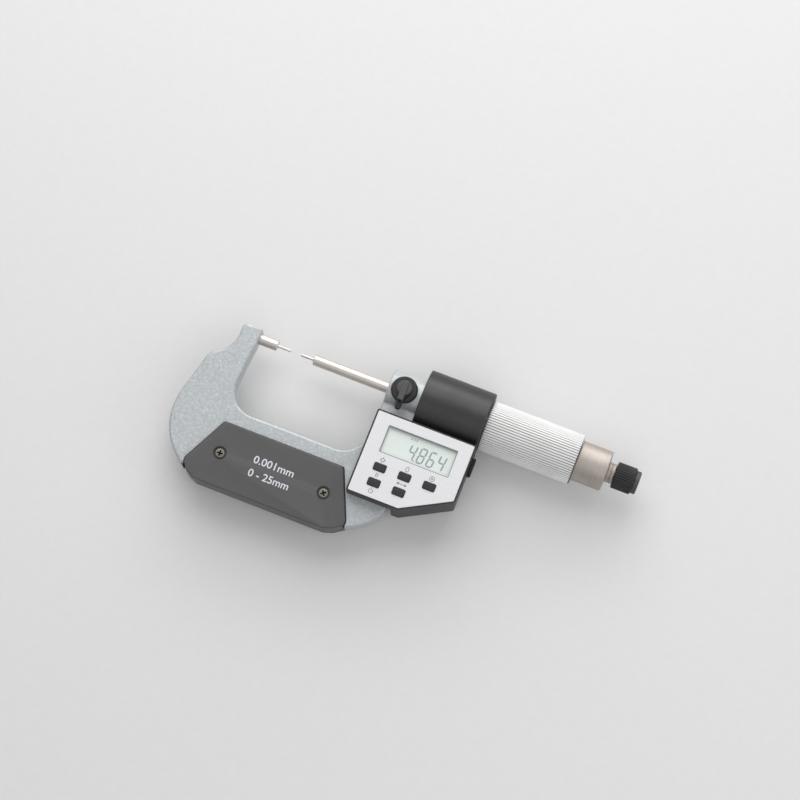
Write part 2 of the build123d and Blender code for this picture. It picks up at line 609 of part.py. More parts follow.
save("ratchet_stem", turned([
    (TUBE_X1, 1.99), (TUBE_X1, 4.1), (TUBE_X1 + 0.3, 4.4), (147.1, 4.4), (147.4, 4.1),
    (147.4, 2.0), (156.1, 2.0), (156.1, 1.0), (149.9, 1.0), (149.9, 0), (147.1, 0),
    (147.1, 1.99)]))
save("ratchet_disc", add_teeth(ring(148.9, 150.4, 2.05, 4.55), 150.3, 150.8, 0))
save("ratchet_spring", ratchet_spring())
save("ratchet_knob", ratchet_knob())
save("ratchet_end_screw", turned([
    (150.2, 0), (150.2, 0.98), (156.26, 0.98), (156.26, 4.85), (156.41, 5.0),
    (157.95, 5.0), (158.3, 4.65), (158.3, 0)]) - box(157.75, 158.9, -0.4, 0.4, -3.0, 3.0))


# ---------------------------------------------------------------- spindle lock
def lock_lever():
    disc_top, hub_top = 10.3, 13.2
    disc = zcyl(LOCK_X, 0, SPOT_Z + 0.05, disc_top, LOCK_R)
    disc = soften(disc, edges_at(disc, "Z", disc_top), 0.6)
    hub = zcyl(LOCK_X, 0, 10.0, hub_top, 3.2)
    hub = soften(hub, edges_at(hub, "Z", hub_top), 0.5)
    # the grip: a straight bar over the hub that steps down to a lower rounded tip
    bar = box(LOCK_X - 1.3, LOCK_X + 1.3, -5.6, 2.95, 10.0, 13.9)
    bar = soften(bar, top_edges(bar), 0.35)
    tip = round_rect(LOCK_X, -4.95, 2.6, 8.7, 1.29, 9.2, 11.8)
    tip = soften(tip, top_edges(tip), 0.5)
    return disc + hub + bar + tip - zcyl(LOCK_X, 0, 7, 12.35, 1.3)


def lock_shoe():
    """Plug hollowed to the spindle's radius on its -Z end."""
    shoe = zcyl(LOCK_X, 0, 0.0, 5.60, 1.82) - xcyl(45, 60, BODY_R + 0.06)
    return shoe - box(LOCK_X - 3, LOCK_X + 3, -3, 3, -1, 1.3)


save("lock_lever", lock_lever())
save("lock_screw", zcyl(LOCK_X, 0, 5.68, 7.22, 2.0) + zcyl(LOCK_X, 0, 7.1, 12.3, 1.28))
save("lock_shoe", lock_shoe())
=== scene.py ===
"""A digital outside micrometer, lying flat on a pale studio floor.

The measuring axis runs along X and the origin lies at the anvil's face: the anvil is on the -X
side, and the spindle, thimble and ratchet knob are on the +X side. The C-frame's grip hangs
towards -Y, and the display faces +Z. Modelling lengths are millimetres, turned into metres by MM
as meshes are made. Floor, light and camera are in metres.
"""

import json
import math
import bpy
import bmesh
from mathutils import Matrix, Vector


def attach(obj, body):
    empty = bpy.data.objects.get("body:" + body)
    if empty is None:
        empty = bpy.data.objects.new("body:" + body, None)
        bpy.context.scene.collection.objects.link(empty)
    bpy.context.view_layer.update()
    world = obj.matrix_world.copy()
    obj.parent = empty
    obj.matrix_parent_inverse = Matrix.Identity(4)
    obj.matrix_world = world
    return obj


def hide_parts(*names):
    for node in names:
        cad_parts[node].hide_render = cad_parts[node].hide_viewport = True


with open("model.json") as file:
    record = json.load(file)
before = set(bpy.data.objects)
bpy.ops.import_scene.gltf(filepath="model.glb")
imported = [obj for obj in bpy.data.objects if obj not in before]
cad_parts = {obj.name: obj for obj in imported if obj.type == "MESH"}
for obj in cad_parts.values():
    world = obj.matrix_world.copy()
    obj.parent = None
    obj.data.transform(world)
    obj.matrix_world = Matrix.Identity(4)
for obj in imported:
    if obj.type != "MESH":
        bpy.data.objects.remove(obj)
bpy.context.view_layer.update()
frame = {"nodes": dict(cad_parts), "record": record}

MM = 0.001
NODES = frame["nodes"]
NODE_BODY = {
    node: body
    for body, nodes in frame["record"]["behaviour"]["bodies"].items()
    for node in nodes
}
MATERIALS = {}
scene = bpy.context.scene


# =====================================================================================
# shader helpers
# =====================================================================================
def srgb(red, green, blue):
    """Linear colour from 0-255 sRGB values."""
    def linear(value):
        value /= 255.0
        return value / 12.92 if value <= 0.04045 else ((value + 0.055) / 1.055) ** 2.4
    return (linear(red), linear(green), linear(blue))


def scaled(color, factor):
    return tuple(min(1.0, channel * factor) for channel in color)


class Shader:
    """A material and its node tree. Values may be numbers, colours or output sockets."""

    def __init__(self, name):
        material = bpy.data.materials.new(name)
        material.use_nodes = True
        self.tree = material.node_tree
        self.tree.nodes.clear()
        self.output = self.node("OutputMaterial")
        MATERIALS[name] = material

    def feed(self, socket, value):
        if isinstance(value, bpy.types.NodeSocket):
            self.tree.links.new(value, socket)
        elif socket.type == "RGBA" and len(value) == 3:
            socket.default_value = (*value, 1.0)
        else:
            socket.default_value = value

    def node(self, kind, inputs=None, **settings):
        node = self.tree.nodes.new("ShaderNode" + kind)
        for setting, value in settings.items():
            setattr(node, setting, value)
        for key, value in (inputs or {}).items():
            self.feed(node.inputs[key], value)
        return node

    def principled(self, inputs):
        self.bsdf = self.node("BsdfPrincipled", inputs)
        self.feed(self.output.inputs["Surface"], self.bsdf.outputs["BSDF"])

    def coordinates(self, stretch=(1, 1, 1), offset=(0, 0, 0)):
        source = self.node("TexCoord").outputs["Object"]
        mapping = self.node("Mapping", {"Scale": stretch, "Location": offset, "Vector": source})
        return mapping.outputs["Vector"]

    def object_axes(self):
        source = self.node("TexCoord").outputs["Object"]
        return self.node("SeparateXYZ", {0: source}).outputs

    def noise(self, scale, detail=3.0, roughness=0.55, stretch=(1, 1, 1), offset=(0, 0, 0)):
        return self.node("TexNoise", {
            "Scale": scale, "Detail": detail, "Roughness": roughness,
            "Vector": self.coordinates(stretch, offset),
        }).outputs["Fac"]

    def voronoi(self, vector, scale, smoothness):
        return self.node("TexVoronoi", {
            "Scale": scale, "Smoothness": smoothness, "Vector": vector,
        }, feature="SMOOTH_F1").outputs["Distance"]

    def remap(self, value, span, to=(0.0, 1.0)):
        return self.node("MapRange", {
            "From Min": span[0], "From Max": span[1],
            "To Min": to[0], "To Max": to[1], "Value": value,
        }).outputs["Result"]

    def mix(self, factor, first, second):
        node = self.node("Mix", data_type="RGBA")
        # sockets 6 and 7 are the colour pair, and output 2 is the colour result
        for index, value in ((0, factor), (6, first), (7, second)):
            self.feed(node.inputs[index], value)
        return node.outputs[2]

    def math(self, operation, first, second=None):
        inputs = {0: first} if second is None else {0: first, 1: second}
        return self.node("Math", inputs, operation=operation).outputs[0]

    def times(self, value, factor):
        return self.math("MULTIPLY", value, factor)

    def weighted_sum(self, first, second, weights):
        return self.math("ADD", self.times(first, weights[0]), self.times(second, weights[1]))

    def distance(self, first, second):
        """Distance from the origin in the plane of two axes."""
        squares = self.math("ADD", self.times(first, first), self.times(second, second))
        return self.math("SQRT", squares)

    def edge_wear(self, amount, span=(0.52, 0.60)):
        """A mask of the convex edges, where pointiness passes through the span."""
        pointiness = self.node("NewGeometry").outputs["Pointiness"]
        return self.times(self.remap(pointiness, span), amount)

    def bump(self, height, strength, depth_mm):
        return self.node("Bump", {
            "Strength": strength, "Distance": depth_mm * MM, "Height": height,
        }).outputs["Normal"]


# =====================================================================================
# metals
# =====================================================================================
# How tool-mark noise is scaled along X, Y and Z: a small number draws the marks out
MARK_STRETCH = {
    "round x": (1.0, 0.03, 0.03),
    "round z": (0.03, 0.03, 1.0),
    "along x": (0.02, 1.0, 1.0),
    "even": (1.0, 1.0, 1.0),
}

# name: sRGB colour, roughness, tool marks, mark scale, mark strength, mark depth (mm),
#       tone variation, smudge roughness
METALS = {
    "mat_thimble": ((240, 240, 240), 0.44, "along x", 5200, 0.22, 0.012, 0.10, 0.05),
    "mat_steel": ((222, 215, 209), 0.37, "round x", 9000, 0.22, 0.008, 0.14, 0.07),
    "mat_nickel": ((192, 184, 177), 0.48, "round x", 7000, 0.30, 0.012, 0.20, 0.10),
    "mat_screw": ((186, 178, 170), 0.34, "round z", 6000, 0.30, 0.010, 0.20, 0.12),
    "mat_screw_head": ((142, 137, 132), 0.42, "round z", 6000, 0.30, 0.010, 0.25, 0.12),
    "mat_brass": ((212, 178, 108), 0.32, "even", 5000, 0.15, 0.006, 0.14, 0.08),
    "mat_bronze": ((184, 138, 84), 0.36, "round x", 7000, 0.25, 0.010, 0.18, 0.08),
    "mat_barrel": ((71, 70, 71), 0.38, "round x", 8000, 0.22, 0.010, 0.14, 0.06),
    "mat_knob": ((48, 48, 50), 0.42, "along x", 5000, 0.25, 0.012, 0.20, 0.08),
    "mat_cell": ((206, 204, 200), 0.22, "even", 4000, 0.10, 0.005, 0.08, 0.08),
}
# The coated metals, which are less than fully metallic
METALLIC = {"mat_thimble": 0.18, "mat_barrel": 0.75, "mat_knob": 0.4}
# Colour that shows on the edges of the dark ones
EDGE_COLOR = {"mat_barrel": srgb(116, 115, 116), "mat_knob": srgb(110, 110, 112)}


def make_metal(name, color, roughness, marks, mark_scale, mark_strength, mark_depth,
               variation, smudge):
    """Machined or drawn metal, with two sizes of tool mark and cloudy smudges."""
    shader = Shader(name)
    stretch = MARK_STRETCH[marks]
    fine = shader.noise(scale=mark_scale, detail=4.0, roughness=0.65, stretch=stretch)
    coarse = shader.noise(scale=mark_scale * 0.23, detail=2.0, roughness=0.6, stretch=stretch,
                          offset=(0.31, 0.17, 0.05))
    cloud = shader.noise(scale=90.0)
    grain = shader.weighted_sum(fine, coarse, weights=(0.62, 0.38))

    tone = shader.remap(grain, span=(0.3, 0.7), to=(1.0 - variation, 1.0 + variation * 0.45))
    base = shader.mix(shader.remap(cloud, span=(0.35, 0.7)), color, scaled(color, factor=0.93))
    toned = shader.node("VectorMath", operation="SCALE")
    shader.feed(toned.inputs[0], base)
    shader.feed(toned.inputs["Scale"], tone)
    final = toned.outputs[0]
    if name in EDGE_COLOR:
        final = shader.mix(shader.edge_wear(amount=0.6), final, EDGE_COLOR[name])

    mark_roughness = shader.remap(grain, span=(0.3, 0.7), to=(roughness - 0.05, roughness + 0.07))
    smudges = shader.remap(cloud, span=(0.3, 0.75), to=(0.0, smudge))
    shader.principled({
        "Base Color": final,
        "Roughness": shader.math("ADD", mark_roughness, smudges),
        "Metallic": METALLIC.get(name, 1.0),
        "Normal": shader.bump(grain, strength=mark_strength, depth_mm=mark_depth),
    })
    return shader


def paint_groove_shade(shader, bottom_mm, top_mm, dark):
    """Painted shade in the flutes, keyed to the distance from the measuring axis."""
    unshaded = shader.bsdf.inputs["Base Color"].links[0].from_socket
    axes = shader.object_axes()
    radius = shader.distance(axes["Y"], axes["Z"])
    # leaves out the bore and the end faces inside this radius (m)
    outside = shader.math("GREATER_THAN", radius, 0.0098)
    depth = shader.remap(radius, span=(bottom_mm * MM, top_mm * MM), to=(1.0, 0.0))
    # the painted groove shade fades out towards +Y, where the light falls from above
    position = shader.node("NewGeometry").outputs["Position"]
    world_y = shader.node("SeparateXYZ", {0: position}).outputs["Y"]
    fade = shader.remap(world_y, span=(0.0035, 0.0088), to=(1.0, 0.30))
    mask = shader.times(shader.times(depth, fade), outside)
    shader.feed(shader.bsdf.inputs["Base Color"], shader.mix(mask, unshaded, dark))


# =====================================================================================
# plastics, rubber and print
# =====================================================================================
# name: sRGB colour, roughness, grain scale, grain strength, grain depth (mm),
#       tone variation, edge wear, specular level
PLASTICS = {
    "mat_grip": ((79, 78, 79), 0.46, 4200, 0.30, 0.03, 0.10, 0.30, 0.5),
    "mat_housing": ((23, 23, 25), 0.42, 5200, 0.25, 0.02, 0.16, 0.25, 0.5),
    "mat_button": ((47, 45, 49), 0.58, 7000, 0.30, 0.015, 0.14, 0.15, 0.4),
    "mat_rubber": ((30, 30, 31), 0.66, 6500, 0.35, 0.02, 0.15, 0.15, 0.35),
    "mat_polymer": ((214, 208, 190), 0.5, 5000, 0.20, 0.02, 0.06, 0.05, 0.5),
    "mat_lever": ((17, 17, 18), 0.40, 5200, 0.25, 0.02, 0.18, 0.35, 0.55),
    "mat_lever_top": ((74, 72, 73), 0.40, 5200, 0.25, 0.02, 0.14, 0.35, 0.55),
    # painted shade: near-black for the faces inside the screws' cross recesses
    "mat_recess_shade": ((14, 13, 13), 0.7, 6000, 0.30, 0.02, 0.20, 0.0, 0.2),
    "mat_print_white": ((214, 218, 226), 0.55, 9000, 0.15, 0.006, 0.05, 0.0, 0.5),
    "mat_print_grey": ((132, 132, 137), 0.5, 9000, 0.15, 0.006, 0.08, 0.0, 0.5),
    "mat_lcd_ink": ((156, 161, 166), 0.35, 9000, 0.10, 0.004, 0.10, 0.0, 0.5),
    # partly painted shadow: the grey line round the display window, drawn wider along its top and
    # left
    "mat_lcd_border": ((136, 140, 138), 0.4, 9000, 0.10, 0.004, 0.08, 0.0, 0.5),
    "mat_lcd_ink_faint": ((194, 201, 201), 0.35, 9000, 0.10, 0.004, 0.06, 0.0, 0.5),
    "mat_amber": ((170, 104, 30), 0.3, 3000, 0.15, 0.01, 0.15, 0.0, 0.5),
}
PEBBLED = {"mat_grip"}


def make_plastic(name, color, roughness, grain_scale, grain_strength, grain_depth,
                 variation, wear, specular):
    """Moulded plastic, rubber or print with a fine surface grain."""
    shader = Shader(name)
    grain = shader.noise(scale=grain_scale, detail=3.0, roughness=0.6)
    cloud = shader.noise(scale=70.0, detail=4.0, roughness=0.6, offset=(0.2, 0.4, 0.1))
    height = grain
    if name in PEBBLED:
        pebbles = shader.voronoi(shader.coordinates(), scale=grain_scale * 0.33, smoothness=0.6)
        height = shader.weighted_sum(grain, pebbles, weights=(0.4, 0.9))

    darker = scaled(color, factor=1.0 - variation)
    paler = scaled(color, factor=1.0 + variation * 1.4)
    final = shader.mix(shader.remap(cloud, span=(0.3, 0.75)), color, darker)
    final = shader.mix(shader.remap(grain, span=(0.35, 0.7), to=(0.0, 0.55)), final, paler)
    if wear:
        worn = scaled(tuple(channel + 0.05 for channel in color), factor=1.35)
        final = shader.mix(shader.edge_wear(amount=wear), final, worn)

    cloudy = shader.remap(cloud, span=(0.3, 0.75), to=(roughness - 0.04, roughness + 0.08))
    grainy = shader.remap(grain, span=(0.3, 0.7), to=(-0.03, 0.04))
    shader.principled({
        "Base Color": final,
        "Roughness": shader.math("ADD", cloudy, grainy),
        "Specular IOR Level": specular,
        "Coat Roughness": 0.25,
        "Normal": shader.bump(height, strength=grain_strength, depth_mm=grain_depth),
    })


# =====================================================================================
# paint, display and circuit boards
# =====================================================================================
def grip_groove_shade_mask(shader):
    """Painted shade in the narrow groove round each grip cover, picked out by place (m)."""
    axes = shader.object_axes()
    height = shader.math("ABSOLUTE", axes["Z"])
    mask = shader.remap(height, span=(0.00470, 0.00494), to=(1.0, 0.0))
    for axis, side, limit in (
        ("Y", "LESS_THAN", -0.0393),
        ("X", "GREATER_THAN", -0.0242),
        ("X", "LESS_THAN", 0.0500),
    ):
        mask = shader.times(mask, shader.math(side, axes[axis], limit))
    return mask


def make_paint():
    """Hammered, light blue-grey paint on the C-frame."""
    shader = Shader("mat_frame_paint")
    base = srgb(192, 197, 200)
    # the cells are nudged by noise, by up to 0.0008 m, so that their edges wander
    warp = shader.noise(scale=500.0, detail=2.0, roughness=0.5)
    nudge = shader.node("VectorMath", {0: warp}, operation="SCALE")
    nudge.inputs["Scale"].default_value = 0.0008
    warped = shader.node("VectorMath", {0: shader.coordinates(), 1: nudge.outputs[0]},
                         operation="ADD")
    cells = shader.voronoi(warped.outputs[0], scale=640.0, smoothness=0.75)
    speck = shader.noise(scale=1500.0, detail=3.0, roughness=0.75)
    cloud = shader.noise(scale=120.0, detail=4.0, roughness=0.6)

    cell_tone = shader.remap(cells, span=(0.1, 0.75))
    color = shader.mix(shader.remap(speck, span=(0.40, 0.62)),
                       scaled(base, factor=0.79), scaled(base, factor=1.17))
    color = shader.mix(shader.times(cell_tone, factor=0.50), color, scaled(base, factor=0.72))
    color = shader.mix(shader.remap(cloud, span=(0.35, 0.75), to=(0.0, 0.35)),
                       color, scaled(base, factor=0.90))
    color = shader.mix(shader.edge_wear(amount=0.30, span=(0.53, 0.62)),
                       color, srgb(226, 229, 231))
    # painted shade: the groove round the grip covers is painted near-black
    color = shader.mix(shader.times(grip_groove_shade_mask(shader), factor=0.93),
                       color, srgb(24, 24, 25))
    height = shader.weighted_sum(cells, speck, weights=(0.75, 0.25))
    shader.principled({
        "Base Color": color,
        "Metallic": 0.28,
        "Roughness": shader.remap(speck, span=(0.3, 0.7), to=(0.40, 0.54)),
        "Coat Weight": 0.35,
        "Coat Roughness": 0.30,
        "Normal": shader.bump(height, strength=0.50, depth_mm=0.12),
    })


def make_panel():
    """Silver-white anodised faceplate with a faint brushed grain along its length."""
    shader = Shader("mat_panel")
    base = srgb(228, 228, 231)
    brushed = shader.noise(scale=5200.0, detail=4.0, roughness=0.65, stretch=(0.03, 1.0, 1.0))
    fine = shader.noise(scale=6500.0, detail=2.0, roughness=0.6)
    cloud = shader.noise(scale=80.0, detail=3.0, roughness=0.6)
    color = shader.mix(shader.remap(brushed, span=(0.35, 0.68)),
                       scaled(base, factor=0.94), scaled(base, factor=1.03))
    color = shader.mix(shader.remap(cloud, span=(0.35, 0.75), to=(0.0, 0.4)),
                       color, scaled(base, factor=0.95))
    height = shader.math("ADD", brushed, shader.times(fine, factor=0.5))
    shader.principled({
        "Base Color": color,
        "Metallic": 0.18,
        "Roughness": shader.remap(brushed, span=(0.3, 0.7), to=(0.46, 0.60)),
        "Normal": shader.bump(height, strength=0.12, depth_mm=0.008),
    })


def make_lcd():
    """Liquid-crystal face: pale grey-green polariser with a faint cell texture."""
    shader = Shader("mat_lcd")
    base = srgb(226, 231, 229)
    fine = shader.noise(scale=9000.0, detail=2.0, roughness=0.6)
    cloud = shader.noise(scale=60.0, detail=2.0, roughness=0.5)
    color = shader.mix(shader.remap(fine, span=(0.35, 0.7)),
                       scaled(base, factor=0.975), scaled(base, factor=1.02))
    color = shader.mix(shader.remap(cloud, span=(0.3, 0.75)), color, srgb(222, 227, 225))
    shader.principled({
        "Base Color": color,
        # painted light: a faint emission makes the liquid-crystal face glow, though nothing
        # lights it from behind
        "Emission Color": srgb(224, 229, 227),
        "Emission Strength": 0.08,
        "Roughness": shader.remap(fine, span=(0.3, 0.7), to=(0.30, 0.42)),
        "Normal": shader.bump(fine, strength=0.08, depth_mm=0.004),
    })


def make_window():
    """Clear acrylic: mostly transparent, with a soft sheen that follows the viewing angle."""
    shader = Shader("mat_window")
    clear = shader.node("BsdfTransparent", {"Color": (0.99, 1.0, 0.995)})
    cloud = shader.noise(scale=120.0, detail=3.0, roughness=0.6)
    fine = shader.noise(scale=2400.0, detail=2.0, roughness=0.6)
    sheen = shader.node("BsdfGlossy", {
        "Color": (1.0, 1.0, 1.0),
        "Roughness": shader.remap(cloud, span=(0.3, 0.75), to=(0.05, 0.12)),
        "Normal": shader.bump(fine, strength=0.03, depth_mm=0.003),
    })
    fresnel = shader.node("Fresnel", {"IOR": 1.45})
    # only faces turned towards the viewer reflect
    backfacing = shader.node("NewGeometry").outputs["Backfacing"]
    facing = shader.math("SUBTRACT", 1.0, backfacing)
    surface = shader.node("MixShader", {
        0: shader.times(fresnel.outputs[0], facing),
        1: clear.outputs[0],
        2: sheen.outputs[0],
    })
    shader.feed(shader.output.inputs["Surface"], surface.outputs[0])


def brick_tracks(shader):
    """Tracks in a brick pattern: the mortar is the copper."""
    return shader.node("TexBrick", {
        "Scale": 420.0,
        "Mortar Size": 0.05,
        "Color1": (0, 0, 0),
        "Color2": (0, 0, 0),
        "Mortar": (1, 1, 1),
        "Vector": shader.coordinates(),
    }).outputs["Color"]


def radial_tracks(shader):
    """48 tracks spread round the measuring axis."""
    axes = shader.object_axes()
    angle = shader.math("ARCTAN2", axes["Y"], axes["Z"])
    wave = shader.math("SINE", shader.times(angle, factor=48.0))
    return shader.remap(wave, span=(-0.1, 0.1))


def make_board(name, base, track, track_mask):
    """Circuit board lacquer with copper tracks showing through."""
    shader = Shader(name)
    mask = track_mask(shader)
    fine = shader.noise(scale=4000.0, detail=3.0, roughness=0.6)
    color = shader.mix(shader.remap(fine, span=(0.3, 0.7)),
                       scaled(base, factor=0.85), scaled(base, factor=1.15))
    height = shader.math("ADD", mask, shader.times(fine, factor=0.3))
    shader.principled({
        "Base Color": shader.mix(mask, color, track),
        "Roughness": shader.remap(fine, span=(0.3, 0.7), to=(0.22, 0.36)),
        "Normal": shader.bump(height, strength=0.2, depth_mm=0.02),
    })


def make_materials():
    make_paint()
    for name, (color, *values) in PLASTICS.items():
        make_plastic(name, srgb(*color), *values)
    metals = {
        name: make_metal(name, srgb(*color), *values)
        for name, (color, *values) in METALS.items()
    }
    # painted shade: the thimble's flutes darken towards their bottoms, and less on the lit +Y
    # side
    paint_groove_shade(metals["mat_thimble"], bottom_mm=10.70, top_mm=10.94, dark=srgb(52, 52, 56))
    make_panel()
    make_lcd()
    make_window()
    make_board("mat_board", srgb(24, 92, 54), srgb(44, 130, 76), brick_tracks)
    make_board("mat_encoder", srgb(30, 88, 56), srgb(196, 160, 84), radial_tracks)


# =====================================================================================
# mesh helpers (millimetres)
# =====================================================================================
def finish_mesh(mesh, sharp_degrees):
    """Smooth shading, with the edges above an angle marked sharp."""
    for face in mesh.polygons:
        face.use_smooth = True
    bm = bmesh.new()
    bm.from_mesh(mesh)
    limit = math.radians(sharp_degrees)
    for edge in bm.edges:
        edge.smooth = not (len(edge.link_faces) == 2 and edge.calc_face_angle(0.0) > limit)
    bm.to_mesh(mesh)
    bm.free()


def put(name, mesh, body, material, node=None, sharp=32.0):
    """Places a mesh on a moving body. With sharp=None it keeps its flat shading.

    node is the CAD node that it replaces, which it hides.
    """
    if sharp is not None:
        finish_mesh(mesh, sharp)
    piece = bpy.data.objects.new(name, mesh)
    scene.collection.objects.link(piece)
    mesh.materials.clear()
    mesh.materials.append(MATERIALS[material])
    if sharp is not None:
        weighted = piece.modifiers.new("weighted", "WEIGHTED_NORMAL")
        weighted.keep_sharp = True
        weighted.weight = 80
    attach(piece, body)
    if node:
        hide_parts(node)
    return piece


def mesh_from(name, verts, faces):
    mesh = bpy.data.meshes.new(name)
    mesh.from_pydata([(x * MM, y * MM, z * MM) for x, y, z in verts], [], faces)
    mesh.validate()
    bm = bmesh.new()
    bm.from_mesh(mesh)
    bmesh.ops.recalc_face_normals(bm, faces=bm.faces)
    bm.to_mesh(mesh)
    bm.free()
    return mesh


def join_meshes(name, meshes):
    bm = bmesh.new()
    for mesh in meshes:
        bm.from_mesh(mesh)
    joined = bpy.data.meshes.new(name)
    bm.to_mesh(joined)
    bm.free()
    return joined


def round_profile(stations, closed, steps):
    """Turns each station that has a corner radius into a short curve."""
    rounded = []
    count = len(stations)
    for i, station in enumerate(stations):
        along, radius, corner_radius, flute_share = (*station, 0.0, 0.0)[:4]
        if corner_radius <= 0 or (not closed and i in (0, count - 1)):
            rounded.append((along, radius, flute_share))
            continue
        corner = Vector((along, radius))
        before = Vector(stations[i - 1][:2])
        after = Vector(stations[(i + 1) % count][:2])
        back, ahead = (before - corner).normalized(), (after - corner).normalized()
        half_angle = math.acos(max(-1, min(1, back.dot(ahead)))) / 2
        cut = min(corner_radius / math.tan(half_angle),
                  (before - corner).length * 0.48, (after - corner).length * 0.48)
        start, end = corner + back * cut, corner + ahead * cut
        for k in range(steps + 1):
            s = k / steps
            point = start * (1 - s) ** 2 + corner * 2 * s * (1 - s) + end * s * s
            rounded.append((point.x, point.y, flute_share))
    return rounded


def lathe(name, stations, segments, closed=False, flute=None, steps=4, upright_at=None):
    """Turned mesh round the X axis, or round a Z-parallel axis at the point upright_at.

    stations: (place along the axis, radius, corner radius, share of the flute's depth)
    """
    verts, rings = [], []
    for along, radius, flute_share in round_profile(stations, closed, steps):
        if radius < 1e-6:
            rings.append([len(verts)])
            verts.append((along, 0.0, 0.0))
            continue
        ring = []
        for k in range(segments):
            angle = 2 * math.pi * k / segments
            reach = radius - flute(angle) * flute_share if flute else radius
            ring.append(len(verts))
            verts.append((along, reach * math.cos(angle), reach * math.sin(angle)))
        rings.append(ring)

    faces = []
    pairs = list(zip(rings, rings[1:])) + ([(rings[-1], rings[0])] if closed else [])
    for near, far in pairs:
        if len(near) == 1 and len(far) == 1:
            continue
        for k in range(segments):
            following = (k + 1) % segments
            if len(near) == 1:
                faces.append((near[0], far[k], far[following]))
            elif len(far) == 1:
                faces.append((near[k], far[0], near[following]))
            else:
                faces.append((near[k], far[k], far[following], near[following]))
    if upright_at:
        centre_x, centre_y = upright_at
        verts = [(y + centre_x, z + centre_y, along) for along, y, z in verts]
    return mesh_from(name, verts, faces)


def flutes(count, depth, width, power):
    """Depth of V-shaped grooves round a turned part; width is their share of the pitch."""
    def depth_at(angle):
        pitch_place = (angle * count / (2 * math.pi)) % 1.0
        # 0 in the middle of a groove, 1 in the middle of a ridge
        from_groove = abs(pitch_place - 0.5) * 2.0
        return depth * max(0.0, 1.0 - from_groove / width) ** power
    return depth_at


def rect(centre_x, centre_y, width, height):
    left, right = centre_x - width / 2, centre_x + width / 2
    low, high = centre_y - height / 2, centre_y + height / 2
    return [(left, low), (right, low), (right, high), (left, high)]


def rounded_outline(corners, radii, steps=6):
    """Counter-clockwise outline with arcs at its corners; radii is one number or a list."""
    count = len(corners)
    if not isinstance(radii, list):
        radii = [radii] * count
    outline = []
    for i, radius in enumerate(radii):
        corner = Vector(corners[i])
        back = (Vector(corners[i - 1]) - corner).normalized()
        ahead = (Vector(corners[(i + 1) % count]) - corner).normalized()
        half_angle = math.acos(max(-1, min(1, back.dot(ahead)))) / 2
        cut = radius / math.tan(half_angle)
        centre = corner + (back + ahead).normalized() * (radius / math.sin(half_angle))
        start, end = corner + back * cut - centre, corner + ahead * cut - centre
        start_angle = math.atan2(start.y, start.x)
        sweep = math.atan2(end.y, end.x) - start_angle
        sweep = (sweep + math.pi) % (2 * math.pi) - math.pi
        for k in range(steps + 1):
            angle = start_angle + sweep * k / steps
            outline.append((centre.x + radius * math.cos(angle),
                            centre.y + radius * math.sin(angle)))
    return outline


def outline_offset(outline, inset):
    """Moves a closed counter-clockwise outline inwards along averaged normals."""
    moved = []
    for i, place in enumerate(outline):
        point = Vector(place)
        arriving = point - Vector(outline[i - 1])
        leaving = Vector(outline[(i + 1) % len(outline)]) - point
        if arriving.length < 1e-9 or leaving.length < 1e-9:
            moved.append(tuple(point))
            continue
        arriving.normalize()
        leaving.normalize()
        normal = Vector((-arriving.y, arriving.x))
        middle = normal + Vector((-leaving.y, leaving.x))
        if middle.length < 1e-6:
            moved.append(tuple(point))
            continue
        middle.normalize()
        reach = inset / max(0.3, middle.dot(normal))
        moved.append((point.x + middle.x * reach, point.y + middle.y * reach))
    return moved


def slab(name, outline, z0, z1, top=0.3, bottom=0.0, steps=4, crown=0.0):
    """Solid from a counter-clockwise XY outline, with rounded rims and a domed top if asked."""
    quarter = [math.pi / 2 * k / steps for k in range(steps + 1)]
    levels = []     # (inset, z)
    if bottom > 0:
        levels += [(bottom * (1 - math.sin(a)), z0 + bottom * (1 - math.cos(a)))
                   for a in quarter]
    else:
        levels.append((0.0, z0))
    if top > 0:
        levels += [(top * (1 - math.cos(a)), z1 - top * (1 - math.sin(a))) for a in quarter]
    else:
        levels.append((0.0, z1))

    verts, faces, count = [], [], len(outline)

    def bridge(lower, upper):
        for k in range(count):
            following = (k + 1) % count
            faces.append((lower + k, lower + following, upper + following, upper + k))

    for inset, z in levels:
        ring = outline_offset(outline, inset) if inset > 1e-9 else outline
        verts += [(x, y, z) for x, y in ring]
    for i in range(len(levels) - 1):
        bridge(i * count, (i + 1) * count)
    faces.append(tuple(range(count))[::-1])
    last = (len(levels) - 1) * count
    if crown > 0:
        ring = outline_offset(outline, top + 0.35)
        crown_ring = len(verts)
        verts += [(x, y, z1 + crown * 0.6) for x, y in ring]
        bridge(last, crown_ring)
        peak = len(verts)
        verts.append((sum(x for x, y in ring) / count, sum(y for x, y in ring) / count,
                      z1 + crown))
        for k in range(count):
            faces.append((crown_ring + k, crown_ring + (k + 1) % count, peak))
    else:
        faces.append(tuple(range(last, last + count)))
    return mesh_from(name, verts, faces)


def flat_piece(name, outlines, z, thickness, material):
    """Thin raised print on the frame body, made of many outlines in the XY plane."""
    meshes = []
    for outline in outlines:
        doubled_area = sum(
            outline[i - 1][0] * outline[i][1] - outline[i][0] * outline[i - 1][1]
            for i in range(len(outline))
        )
        if doubled_area < 0:
            outline = outline[::-1]
        meshes.append(slab("print", outline, z, z + thickness, top=0))
    put(name, join_meshes(name, meshes), "frame", material, sharp=None)


